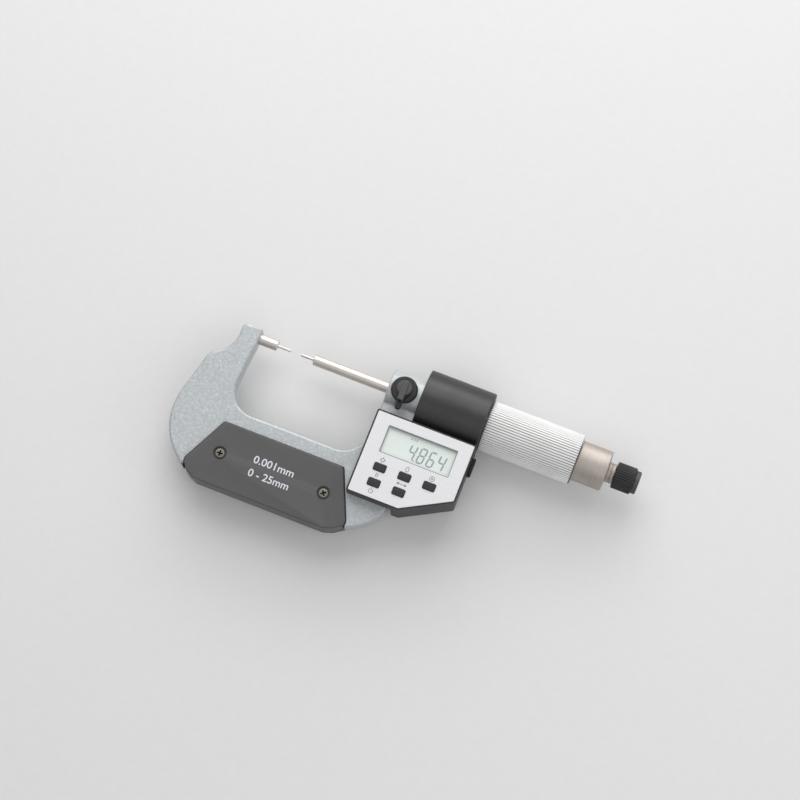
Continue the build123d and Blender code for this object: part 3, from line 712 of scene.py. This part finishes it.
def refined(node, material, sharp=30.0, bevel=0.0):
    """A finished copy of a CAD shape: welded, its flat faces merged, its steep edges broken
    if a bevel width is given, and smooth-shaded."""
    mesh = NODES[node].data.copy()
    mesh.name = node + "_mesh"
    bm = bmesh.new()
    bm.from_mesh(mesh)
    bmesh.ops.remove_doubles(bm, verts=bm.verts, dist=1.5e-6)
    bmesh.ops.dissolve_limit(bm, angle_limit=math.radians(0.4), verts=bm.verts, edges=bm.edges)
    if bevel > 0:
        limit = math.radians(60)
        steep = [edge for edge in bm.edges
                 if len(edge.link_faces) == 2 and edge.calc_face_angle(0.0) > limit]
        bmesh.ops.bevel(bm, geom=steep, offset=bevel * MM, offset_type="OFFSET", segments=2,
                        profile=0.5, affect="EDGES", clamp_overlap=True)
    bmesh.ops.triangulate(bm, faces=[face for face in bm.faces if len(face.verts) > 4])
    bmesh.ops.recalc_face_normals(bm, faces=bm.faces)
    bm.to_mesh(mesh)
    bm.free()
    # imported normals would override the shading
    if mesh.attributes.get("custom_normal"):
        mesh.attributes.remove(mesh.attributes["custom_normal"])
    put(node + "_body", mesh, NODE_BODY[node], material, node, sharp=sharp)


# =====================================================================================
# C-frame, grip covers and their screws
# =====================================================================================
GRIP_SCREW_XS = (-10.4, 36.5)
GRIP_SCREW_Y = -53.2

# (z, radius, corner radius), from the shank's end to the top of the head
GRIP_SCREW_PROFILE = [
    (1.0, 0), (1.0, 1.22, 0.1), (5.72, 1.22, 0.05), (5.72, 2.1, 0.06), (6.22, 2.1, 0.12),
    (6.48, 1.85, 0.2), (6.55, 0),
]
# The tapered slot that cuts one arm of the cross: (half length, half width, z)
SLOT_LEVELS = [(1.015, 0.304, 5.82), (1.537, 0.399, 7.2)]
BOX_FACES = [(0, 3, 2, 1), (4, 5, 6, 7), (0, 1, 5, 4), (1, 2, 6, 5), (2, 3, 7, 6), (3, 0, 4, 7)]


def slot_cutter(angle):
    verts = []
    for half_length, half_width, z in SLOT_LEVELS:
        for side_x, side_y in ((-1, -1), (1, -1), (1, 1), (-1, 1)):
            x, y = side_x * half_length, side_y * half_width
            verts.append((x * math.cos(angle) - y * math.sin(angle),
                          x * math.sin(angle) + y * math.cos(angle), z))
    return mesh_from("slot_cutter", verts, BOX_FACES)


def cross_screw_mesh(turn):
    """Cheese-head screw on the Z axis, with a cruciform recess turned by some degrees."""
    blank = lathe("cross_screw", GRIP_SCREW_PROFILE, segments=64, steps=3, upright_at=(0, 0))
    screw = bpy.data.objects.new("screw", blank)
    scene.collection.objects.link(screw)
    for arm_angle in (0, math.pi / 2):
        cutter_mesh = slot_cutter(arm_angle + math.radians(turn))
        cutter = bpy.data.objects.new("cutter", cutter_mesh)
        scene.collection.objects.link(cutter)
        cut = screw.modifiers.new("cut", "BOOLEAN")
        cut.operation = "DIFFERENCE"
        cut.solver = "EXACT"
        cut.object = cutter
        depsgraph = bpy.context.evaluated_depsgraph_get()
        depsgraph.update()
        result = bpy.data.meshes.new_from_object(screw.evaluated_get(depsgraph))
        screw.modifiers.clear()
        screw.data = result
        bpy.data.objects.remove(cutter)
    mesh = screw.data
    bpy.data.objects.remove(screw)
    return mesh


def in_recess(face):
    """Whether a face of the finished screws lies inside a cross recess."""
    centre = face.center / MM
    height = abs(centre.z)
    from_axis = min(math.hypot(centre.x - x, centre.y - GRIP_SCREW_Y) for x in GRIP_SCREW_XS)
    below_the_top = abs(face.normal.z) < 0.9 or height < 6.2
    return from_axis < 1.56 and 5.78 < height < 6.47 and below_the_top


def grip_screws(name, node, turns, rear=False):
    """The two screws of one grip cover; the rear ones are mirrored to the -Z side."""
    meshes = []
    for x, turn in zip(GRIP_SCREW_XS, turns):
        mesh = cross_screw_mesh(turn)
        mesh.transform(Matrix.Translation((x * MM, GRIP_SCREW_Y * MM, 0)))
        if rear:
            mesh.transform(Matrix.Scale(-1, 4, (0, 0, 1)))
            mesh.flip_normals()
        meshes.append(mesh)
    screws = put(name, join_meshes(name, meshes), "frame", "mat_screw_head", node, sharp=30)
    # painted shade: faces inside each cross recess take the near-black second material
    screws.data.materials.append(MATERIALS["mat_recess_shade"])
    for face in screws.data.polygons:
        if in_recess(face):
            face.material_index = 1


def range_mark(name, text, x, y, widen):
    """White print on the front grip cover."""
    size, z, thickness, bolder = 4.6, 6.80, 0.05, 0.06
    curve = bpy.data.curves.new(name, "FONT")
    curve.body = text
    curve.size = size * MM
    curve.align_x = "CENTER"
    curve.align_y = "CENTER"
    curve.extrude = thickness * MM / 2
    curve.offset = bolder * MM
    curve.resolution_u = 6
    lettering = bpy.data.objects.new(name + "_curve", curve)
    scene.collection.objects.link(lettering)
    bpy.context.view_layer.update()
    depsgraph = bpy.context.evaluated_depsgraph_get()
    mesh = bpy.data.meshes.new_from_object(lettering.evaluated_get(depsgraph))
    bpy.data.objects.remove(lettering)
    mesh.transform(Matrix.Scale(widen, 4, (1, 0, 0)))
    mesh.transform(Matrix.Translation((x * MM, y * MM, z * MM)))
    for face in mesh.polygons:
        face.use_smooth = False
    put(name, mesh, "frame", "mat_print_white", sharp=None)


def build_frame():
    refined("frame", "mat_frame_paint", sharp=28.0)
    refined("grip_plate_front", "mat_grip")
    refined("grip_plate_rear", "mat_grip")
    grip_screws("grip_screw_heads_front", "grip_screws_front", turns=(3, 35))
    grip_screws("grip_screw_heads_rear", "grip_screws_rear", turns=(18, 62), rear=True)
    range_mark("range_mark_upper", "0.001mm", x=13.1, y=-50.5, widen=1.06)
    range_mark("range_mark_lower", "0 - 25mm", x=12.96, y=-56.45, widen=1.02)


# =====================================================================================
# display
# =====================================================================================
WINDOW_X = (52.0, 83.15)
WINDOW_Y = (-29.2, -17.0)
WINDOW_TOP = 11.5

INK_Z = 10.51
INK_THICKNESS = 0.03
PRINT_THICKNESS = 0.02

# Seven-segment digits: (figure, x of its centre)
DIGITS = [("4", 65.2), ("8", 69.55), ("6", 73.85), ("4", 78.2)]
DIGIT_Y = -24.35
DIGIT_WIDTH = 2.45
DIGIT_HEIGHT = 6.4
STROKE = 0.66
SEGMENT_GAP = 0.07
SLANT = math.tan(math.radians(6.5))
# The lit segments: a is the top bar, b to f run on clockwise from it, g is the middle bar
LIT_SEGMENTS = {"4": "fgbc", "6": "afgecd", "8": "abcdefg"}


def segment_outlines(centre_x):
    """The seven slanted segment outlines of one digit, by letter."""
    half_width, half_height, half_stroke = DIGIT_WIDTH / 2, DIGIT_HEIGHT / 2, STROKE / 2
    left, right = centre_x - half_width, centre_x + half_width
    low, high = DIGIT_Y - half_height, DIGIT_Y + half_height

    def bar(y):
        start, end = left + SEGMENT_GAP, right - SEGMENT_GAP
        return [(start, y), (start + half_stroke, y + half_stroke),
                (end - half_stroke, y + half_stroke), (end, y),
                (end - half_stroke, y - half_stroke), (start + half_stroke, y - half_stroke)]

    def post(x, bottom, top):
        start, end = bottom + SEGMENT_GAP, top - SEGMENT_GAP
        return [(x, start), (x + half_stroke, start + half_stroke),
                (x + half_stroke, end - half_stroke), (x, end),
                (x - half_stroke, end - half_stroke), (x - half_stroke, start + half_stroke)]

    upright = {
        "a": bar(high), "g": bar(DIGIT_Y), "d": bar(low),
        "b": post(right, DIGIT_Y, high), "c": post(right, low, DIGIT_Y),
        "f": post(left, DIGIT_Y, high), "e": post(left, low, DIGIT_Y),
    }
    return {
        letter: [(x + (y - DIGIT_Y) * SLANT, y) for x, y in outline]
        for letter, outline in upright.items()
    }


def build_lcd():
    (left, right), (low, high) = WINDOW_X, WINDOW_Y
    clearance = 0.08
    lens = rect((left + right) / 2, (low + high) / 2,
                right - left - clearance, high - low - clearance)
    mesh = slab("lcd_lens", rounded_outline(lens, 0.55), 10.66, WINDOW_TOP, top=0.12)
    put("lcd_lens", mesh, "frame", "mat_window", "lcd_window")
    mesh = slab("lcd_cell", rect(67.55, -23.05, 33.3, 16.1), 8.9, 10.5,
                top=0.08, bottom=0.08, steps=2)
    put("lcd_cell", mesh, "frame", "mat_lcd", "lcd_module")

    # a grey border, as four strips that meet at mitred corners: partly the window's gap line,
    # partly painted shadow, as the wider top and left strips stand for the shadow of the recess's
    # top and left walls
    outer = rect((left + right) / 2, (low + high) / 2,
                 right - left - 2 * clearance, high - low - 2 * clearance)
    left_width, right_width, low_width, high_width = 0.42, 0.26, 0.30, 0.62
    inner_left, inner_right = left + clearance + left_width, right - clearance - right_width
    inner_low, inner_high = low + clearance + low_width, high - clearance - high_width
    inner = [(inner_left, inner_low), (inner_right, inner_low),
             (inner_right, inner_high), (inner_left, inner_high)]
    strips = [[outer[i], outer[(i + 1) % 4], inner[(i + 1) % 4], inner[i]] for i in range(4)]
    flat_piece("lcd_border_and_shadow", strips, WINDOW_TOP, PRINT_THICKNESS, "mat_lcd_border")


def build_lcd_ink():
    outlines = []
    for figure, centre_x in DIGITS:
        segments = segment_outlines(centre_x)
        outlines += [segments[letter] for letter in LIT_SEGMENTS[figure]]
    # the decimal point, at the foot of the first digit on its +X side
    point_x = DIGITS[0][1] + DIGIT_WIDTH / 2 + 0.37
    outlines.append(rect(point_x, DIGIT_Y - DIGIT_HEIGHT / 2, 0.55, 0.55))
    flat_piece("lcd_digits", outlines, INK_Z, INK_THICKNESS, "mat_lcd_ink")
    blocks = [rect(63.0 + 1.2 * i, -18.9, 0.8, 1.0) for i in range(3)]
    flat_piece("lcd_indicator", blocks, INK_Z, INK_THICKNESS, "mat_lcd_ink_faint")


def build_display():
    refined("display_housing", "mat_housing", bevel=0.14)
    refined("display_panel", "mat_panel")
    build_lcd()
    build_lcd_ink()


# =====================================================================================
# rubber buttons, their printed marks, and the covers
# =====================================================================================
COLUMN_XS = [55.0 + 11.05 * i for i in range(3)]
ROW_YS = (-35.45, -42.3)
# name: (column, row)
BUTTONS = {
    "button_set": (0, 0), "button_zero": (1, 0), "button_data": (2, 0),
    "button_power": (0, 1), "button_units": (1, 1),
}

MARK_Z = 12.0
MARK_STROKE = 0.27
# Heights of the marks above, between and below the two rows
UPPER_MARK_Y, MIDDLE_MARK_Y, LOWER_MARK_Y = -32.05, -38.85, -46.0


def build_button(name, column, row):
    x, y = COLUMN_XS[column], ROW_YS[row]
    cap = slab("cap", rounded_outline(rect(x, y, 5.4, 3.4), 0.65), 10.9, 12.47,
               top=0.38, steps=5, crown=0.07)
    flange = slab("flange", rounded_outline(rect(x, y, 6.6, 4.6), 1.0), 10.2, 10.95,
                  top=0.15, steps=2)
    stem = lathe("stem", [(8.65, 0), (8.65, 1.1, 0.15), (10.3, 1.1), (10.3, 0)],
                 segments=32, upright_at=(x, y))
    mesh = join_meshes(name + "_key", [cap, flange, stem])
    put(name + "_key", mesh, name, "mat_button", name, sharp=40)


def ring_mark(x, y, radii, stroke=MARK_STROKE, start=0, end=360, count=24):
    """Quads of an elliptical ring or arc, from its (X, Y) radii; angles in degrees."""
    def point(i, outward):
        angle = math.radians(start + (end - start) * i / count)
        return (x + (radii[0] + outward) * math.cos(angle),
                y + (radii[1] + outward) * math.sin(angle))

    half = stroke / 2
    return [[point(i, -half), point(i, half), point(i + 1, half), point(i + 1, -half)]
            for i in range(count)]


def tick_marks(x, y, inner=0.82, outer=1.25, half_width=0.16):
    """Four short ticks that point outwards, a quarter turn apart."""
    corners = [(inner, half_width), (inner, -half_width),
               (outer, -half_width), (outer, half_width)]
    ticks = []
    for degrees in (0, 90, 180, 270):
        c, s = math.cos(math.radians(degrees)), math.sin(math.radians(degrees))
        ticks.append([(x + c * reach - s * side, y + s * reach + c * side)
                      for reach, side in corners])
    return ticks


def double_arrow(x, y):
    shapes = [rect(x, y, 2.8, 0.28)]
    base, tip, half_height = 1.25, 2.35, 0.65
    for side in (1, -1):
        shapes.append([(x + side * base, y + side * half_height),
                       (x + side * base, y - side * half_height), (x + side * tip, y)])
    return shapes


def build_button_marks():
    first, second, third = COLUMN_XS
    # above the buttons: a cog, a zero, and a ring with a dot
    marks = ring_mark(first, UPPER_MARK_Y, radii=(0.72, 0.72))
    marks += tick_marks(first, UPPER_MARK_Y)
    marks += ring_mark(second, UPPER_MARK_Y, radii=(0.64, 1.04), stroke=0.28)
    marks += ring_mark(third, UPPER_MARK_Y, radii=(1.02, 1.02))
    marks += ring_mark(third, UPPER_MARK_Y, radii=(0.22, 0.22), stroke=0.38, count=12)
    # between the rows: two upright bars and a double arrow
    marks += [rect(first + side * 0.38, MIDDLE_MARK_Y, 0.34, 1.75) for side in (-1, 1)]
    marks += double_arrow(second, MIDDLE_MARK_Y)
    # below the first column: the power mark, an open ring with a bar
    marks += ring_mark(first, LOWER_MARK_Y, radii=(0.90, 0.90), start=125, end=415, count=22)
    marks.append(rect(first, LOWER_MARK_Y + 0.8, MARK_STROKE, 1.25))
    flat_piece("button_marks", marks, MARK_Z, PRINT_THICKNESS, "mat_print_grey")


def build_controls():
    for name, (column, row) in BUTTONS.items():
        build_button(name, column, row)
    build_button_marks()
    refined("data_port_cover", "mat_rubber")
    refined("battery_cap", "mat_housing", bevel=0.1)
    refined("battery_cap_seal", "mat_rubber", sharp=60.0)


# =====================================================================================
# turned parts on the measuring axis
# Stations are (x, radius, corner radius, share of the flute's depth).
# =====================================================================================
SPINDLE_FACE = 4.864        # x of the spindle's measuring face
TIP_LENGTH = 6.0            # the thin tips of the anvil and spindle
TIP_R = 0.6
ROD_R = 2.3

ANVIL = [
    (-20.8, 0), (-20.8, ROD_R, 0.3), (-TIP_LENGTH, ROD_R, 0.28), (-TIP_LENGTH, TIP_R, 0.08),
    (-0.004, TIP_R, 0.05), (-0.004, 0),
]
SPINDLE = [
    (SPINDLE_FACE, 0), (SPINDLE_FACE, TIP_R, 0.05),
    (SPINDLE_FACE + TIP_LENGTH, TIP_R, 0.08), (SPINDLE_FACE + TIP_LENGTH, ROD_R, 0.28),
    (72.0, ROD_R, 0.1), (72.6, 3.09, 0.1), (122.0, 3.09, 0.1), (122.4, 2.8, 0.1),
    (141.0, 2.8, 0.05), (141.0, 1.98, 0.05), (147.0, 1.98, 0.2), (147.0, 0),
]
BARREL_R = 14.0
BARREL_BORE_R = 12.6
BARREL = [
    (60.05, 5.7), (60.05, BARREL_R, 0.35), (89.4, BARREL_R, 0.8), (89.4, 8.5, 0.15),
    (88.2, 8.5, 0.1), (88.2, BARREL_BORE_R, 0.2), (60.95, BARREL_BORE_R, 0.2), (60.95, 5.7),
]
THIMBLE_R = 11.05
THIMBLE_FLUTES = 60
THIMBLE = [
    (89.7, 7.2), (89.7, 10.83, 0.0, 0.42), (89.80, 10.98, 0.0, 0.85),
    (89.95, THIMBLE_R, 0.0, 1.0), (92.3, THIMBLE_R, 0.0, 1.0), (110.0, THIMBLE_R, 0.0, 1.0),
    (129.4, THIMBLE_R, 0.0, 1.0), (129.75, 11.04, 0.0, 1.0), (130.2, 10.88, 0.0, 0.6),
    (130.55, 10.6, 0.0, 0.2), (130.8, 10.15, 0.0, 0.0), (130.8, 8.85, 0.1),
    (94.0, 8.85, 0.05), (94.0, 7.2, 0.05),
]
INNER_TUBE = [
    (99.1, 7.3), (99.1, 8.8, 0.2), (144.2, 8.8, 0.75), (144.2, 2.0, 0.05), (141.0, 2.0),
    (141.0, 7.3, 0.3),
]
RATCHET_NECK = [
    (144.22, 1.99), (144.22, 4.4, 0.3), (145.5, 4.4, 0.05), (145.7, 4.1, 0.05),
    (146.0, 4.1, 0.05), (146.2, 4.4, 0.05), (147.4, 4.4, 0.3), (147.4, 2.0, 0.05),
    (156.1, 2.0, 0.05), (156.1, 1.0), (149.9, 1.0), (149.9, 0.0), (147.1, 0.0), (147.1, 1.99),
]
KNOB_R = 5.8
KNOB_FLUTES = 34
KNOB = [
    (147.65, 4.75, 0.1), (147.65, 5.45, 0.06), (147.92, 5.78, 0.06),
    (148.0, KNOB_R, 0.0, 0.35), (148.2, KNOB_R, 0.0, 1.0), (152.0, KNOB_R, 0.0, 1.0),
    (155.6, KNOB_R, 0.0, 1.0), (155.8, KNOB_R, 0.0, 0.35), (155.9, 5.78, 0.06),
    (156.2, 5.46, 0.08), (156.2, 2.05, 0.05), (151.5, 2.05), (151.5, 4.75, 0.1),
]
SEGMENTS_PER_FLUTE = 12


def build_turned_parts():
    mesh = lathe("anvil_turned", ANVIL, segments=96)
    put("anvil_turned", mesh, "frame", "mat_steel", "anvil")
    mesh = lathe("spindle_turned", SPINDLE, segments=96)
    put("spindle_turned", mesh, "spindle", "mat_steel", "spindle")
    mesh = lathe("barrel_shell", BARREL, segments=192, closed=True, steps=5)
    put("barrel_shell", mesh, "frame", "mat_barrel", "barrel_cover", sharp=40)

    mesh = lathe("thimble_sleeve", THIMBLE, segments=THIMBLE_FLUTES * SEGMENTS_PER_FLUTE,
                 closed=True, steps=3,
                 flute=flutes(THIMBLE_FLUTES, depth=0.38, width=0.46, power=0.9))
    put("thimble_sleeve", mesh, "thimble", "mat_thimble", "thimble", sharp=50)
    mesh = lathe("inner_tube", INNER_TUBE, segments=160, closed=True)
    put("inner_tube", mesh, "spindle", "mat_nickel", "inner_thimble", sharp=40)

    mesh = lathe("ratchet_neck", RATCHET_NECK, segments=96, steps=3)
    put("ratchet_neck", mesh, "spindle", "mat_nickel", "ratchet_stem", sharp=40)
    mesh = lathe("ratchet_grip", KNOB, segments=KNOB_FLUTES * SEGMENTS_PER_FLUTE,
                 closed=True, steps=3,
                 flute=flutes(KNOB_FLUTES, depth=0.33, width=0.58, power=0.85))
    put("ratchet_grip", mesh, "ratchet_knob", "mat_knob", "ratchet_knob", sharp=50)
    refined("ratchet_end_screw", "mat_knob")


# =====================================================================================
# spindle lock
# =====================================================================================
LOCK_X = 52.25
LOCK_BORE_R = 1.3
LOCK_BAR_WIDTH = 2.6
# (z, radius, corner radius)
LOCK_DISC = [(7.25, LOCK_BORE_R), (7.25, 5.6, 0.15), (10.3, 5.6, 0.6), (10.3, LOCK_BORE_R)]
LOCK_HUB = [
    (10.1, LOCK_BORE_R), (10.1, 3.2), (13.2, 3.2, 0.5), (13.2, 0.0), (12.35, 0.0),
    (12.35, LOCK_BORE_R),
]


def lock_outline(low, high, radii, steps, width=LOCK_BAR_WIDTH):
    """Rounded bar along Y, centred on the lever's axis in X."""
    bar = rect(LOCK_X, (low + high) / 2, width, high - low)
    return rounded_outline(bar, radii, steps)


def build_lock():
    axis = (LOCK_X, 0)
    disc = lathe("lock_disc", LOCK_DISC, segments=128, closed=True, steps=5, upright_at=axis)
    put("lock_disc", disc, "lock_lever", "mat_lever", "lock_lever", sharp=35)
    hub = lathe("lock_hub", LOCK_HUB, segments=96, closed=True, steps=5, upright_at=axis)
    put("lock_hub", hub, "lock_lever", "mat_lever_top", sharp=35)
    tip = slab("lock_tip", lock_outline(-9.3, -0.6, [1.29, 1.29, 0.1, 0.1], steps=8),
               9.2, 11.8, top=0.5, bottom=0.2)
    put("lock_tip", tip, "lock_lever", "mat_lever", sharp=35)

    # a raised bar over the hub, on a foot that is set in by 0.03 mm
    raised = slab("raised", lock_outline(-5.6, 2.95, 0.3, steps=4), 12.36, 13.9, top=0.35)
    inset = 0.03
    foot_outline = lock_outline(-5.6 + inset, -1.6, [0.3, 0.3, 0.1, 0.1], steps=4,
                                width=LOCK_BAR_WIDTH - 2 * inset)
    foot = slab("foot", foot_outline, 10.05, 12.6, top=0)
    bar = join_meshes("lock_bar", [raised, foot])
    put("lock_bar", bar, "lock_lever", "mat_lever_top", sharp=35)
    refined("lock_screw", "mat_lever")


# =====================================================================================
# nodes that keep their CAD shape
# =====================================================================================
CAD_MATERIALS = {
    "guide_sleeve": "mat_steel", "spindle_wiper": "mat_rubber", "adjusting_nut": "mat_steel",
    "panel_gasket": "mat_rubber", "lcd_connectors": "mat_rubber", "circuit_board": "mat_board",
    "board_screws": "mat_screw", "housing_screws": "mat_screw", "switch_domes": "mat_cell",
    "battery": "mat_cell", "battery_contacts": "mat_brass", "data_port": "mat_polymer",
    "barrel_screws": "mat_screw", "thimble_seal": "mat_rubber",
    "stator_carrier": "mat_polymer", "encoder_stator": "mat_encoder",
    "encoder_rotor": "mat_encoder", "encoder_flex_cable": "mat_amber",
    "thimble_hub": "mat_thimble", "thimble_bush": "mat_bronze",
    "thimble_retaining_ring": "mat_screw", "thimble_key": "mat_steel",
    "ratchet_spring": "mat_screw", "ratchet_disc": "mat_steel", "lock_shoe": "mat_brass",
}


def finish_cad_nodes():
    for node, material in CAD_MATERIALS.items():
        mesh = NODES[node].data
        mesh.materials.clear()
        mesh.materials.append(MATERIALS[material])
        for face in mesh.polygons:
            face.use_smooth = False


# =====================================================================================
# floor, light and camera (metres)
# =====================================================================================
FLOOR_Z = -0.0142
FLOOR_HALF_SIZE = 3.0
LIGHT_TARGET = Vector((0.06, -0.02, 0.0))

# name: place, width, second side (None for a square), power (W), colour
LIGHTS = {
    "key_soft": ((-0.22, 0.62, 0.70), 1.0, 0.95, 6.1, (1.0, 0.995, 0.98)),
    "side_soft": ((0.95, 0.05, 0.55), 0.6, None, 1.6, (0.97, 0.985, 1.0)),
    "back_soft": ((-0.05, 0.98, 0.34), 1.3, 0.5, 4.2, (1.0, 0.995, 0.985)),
    "low_soft": ((0.5, -0.75, 0.30), 0.9, None, 0.35, (1, 1, 1)),
    "front_soft": ((0.30, -0.42, 0.86), 0.8, None, 1.7, (1.0, 0.997, 0.99)),
}

CAMERA_PLACE = (0.12513, -0.19152, 0.91545)
CAMERA_AZIMUTH = math.radians(21.36705)     # turned from -Y towards +X
CAMERA_ELEVATION = math.radians(77.53029)


def make_floor_material():
    shader = Shader("mat_floor")
    cloud = shader.noise(scale=300.0, detail=4.0, roughness=0.6)
    # the far floor, which the lights don't reach, fades into the backdrop as the camera sees it
    axes = shader.object_axes()
    fade = shader.remap(shader.distance(axes["X"], axes["Y"]), span=(0.45, 2.2), to=(0.0, 0.44))
    camera_ray = shader.node("LightPath").outputs["Is Camera Ray"]
    shader.principled({
        "Base Color": shader.mix(cloud, (0.74, 0.74, 0.745), (0.78, 0.78, 0.785)),
        "Roughness": 0.85,
        "Specular IOR Level": 0.15,
        "Emission Color": (1.0, 1.0, 1.0),
        "Emission Strength": shader.times(fade, camera_ray),
    })


def build_floor():
    make_floor_material()
    mesh = bpy.data.meshes.new("floor")
    side = 2 * FLOOR_HALF_SIZE
    corners = [(x, y, FLOOR_Z) for x, y in rect(0, 0, side, side)]
    mesh.from_pydata(corners, [], [(0, 1, 2, 3)])
    floor = bpy.data.objects.new("floor", mesh)
    scene.collection.objects.link(floor)
    mesh.materials.append(MATERIALS["mat_floor"])


def build_world():
    """White surroundings; the backdrop the camera sees is paler than the light it gives."""
    world = bpy.data.worlds.new("studio")
    scene.world = world
    world.use_nodes = True
    nodes, links = world.node_tree.nodes, world.node_tree.links
    nodes.clear()
    output = nodes.new("ShaderNodeOutputWorld")
    light_path = nodes.new("ShaderNodeLightPath")
    mix = nodes.new("ShaderNodeMixShader")
    links.new(light_path.outputs["Is Camera Ray"], mix.inputs[0])
    given_light, seen_backdrop = 0.37, 0.74
    for index, strength in ((1, given_light), (2, seen_backdrop)):
        background = nodes.new("ShaderNodeBackground")
        background.inputs["Color"].default_value = (1.0, 1.0, 1.0, 1.0)
        background.inputs["Strength"].default_value = strength
        links.new(background.outputs[0], mix.inputs[index])
    links.new(mix.outputs[0], output.inputs["Surface"])


def build_light(name, place, width, second_side, power, color):
    light = bpy.data.lights.new(name, "AREA")
    light.energy = power
    light.size = width
    if second_side:
        light.shape = "RECTANGLE"
        light.size_y = second_side
    light.color = color
    lamp = bpy.data.objects.new(name, light)
    scene.collection.objects.link(lamp)
    lamp.location = place
    lamp.rotation_mode = "QUATERNION"
    lamp.rotation_quaternion = (LIGHT_TARGET - Vector(place)).to_track_quat("-Z", "Y")


def build_camera():
    lens = bpy.data.cameras.new("camera")
    lens.sensor_width = 36.0
    lens.lens = 99.0
    lens.clip_start = 0.02
    lens.clip_end = 20.0
    camera = bpy.data.objects.new("camera", lens)
    scene.collection.objects.link(camera)
    level = math.cos(CAMERA_ELEVATION)
    back = Vector((math.sin(CAMERA_AZIMUTH) * level, -math.cos(CAMERA_AZIMUTH) * level,
                   math.sin(CAMERA_ELEVATION)))
    right = Vector((math.cos(CAMERA_AZIMUTH), math.sin(CAMERA_AZIMUTH), 0.0))
    up = back.cross(right)
    rows = [(right[i], up[i], back[i], CAMERA_PLACE[i]) for i in range(3)]
    camera.matrix_world = Matrix((*rows, (0, 0, 0, 1)))
    scene.camera = camera
    scene.view_settings.view_transform = "Standard"
    scene.view_settings.look = "None"
    scene.view_settings.exposure = 0.0


# =====================================================================================
# build
# =====================================================================================
make_materials()
build_frame()
build_display()
build_controls()
build_turned_parts()
build_lock()
finish_cad_nodes()
build_floor()
build_world()
for light_name, light_values in LIGHTS.items():
    build_light(light_name, *light_values)
build_camera()
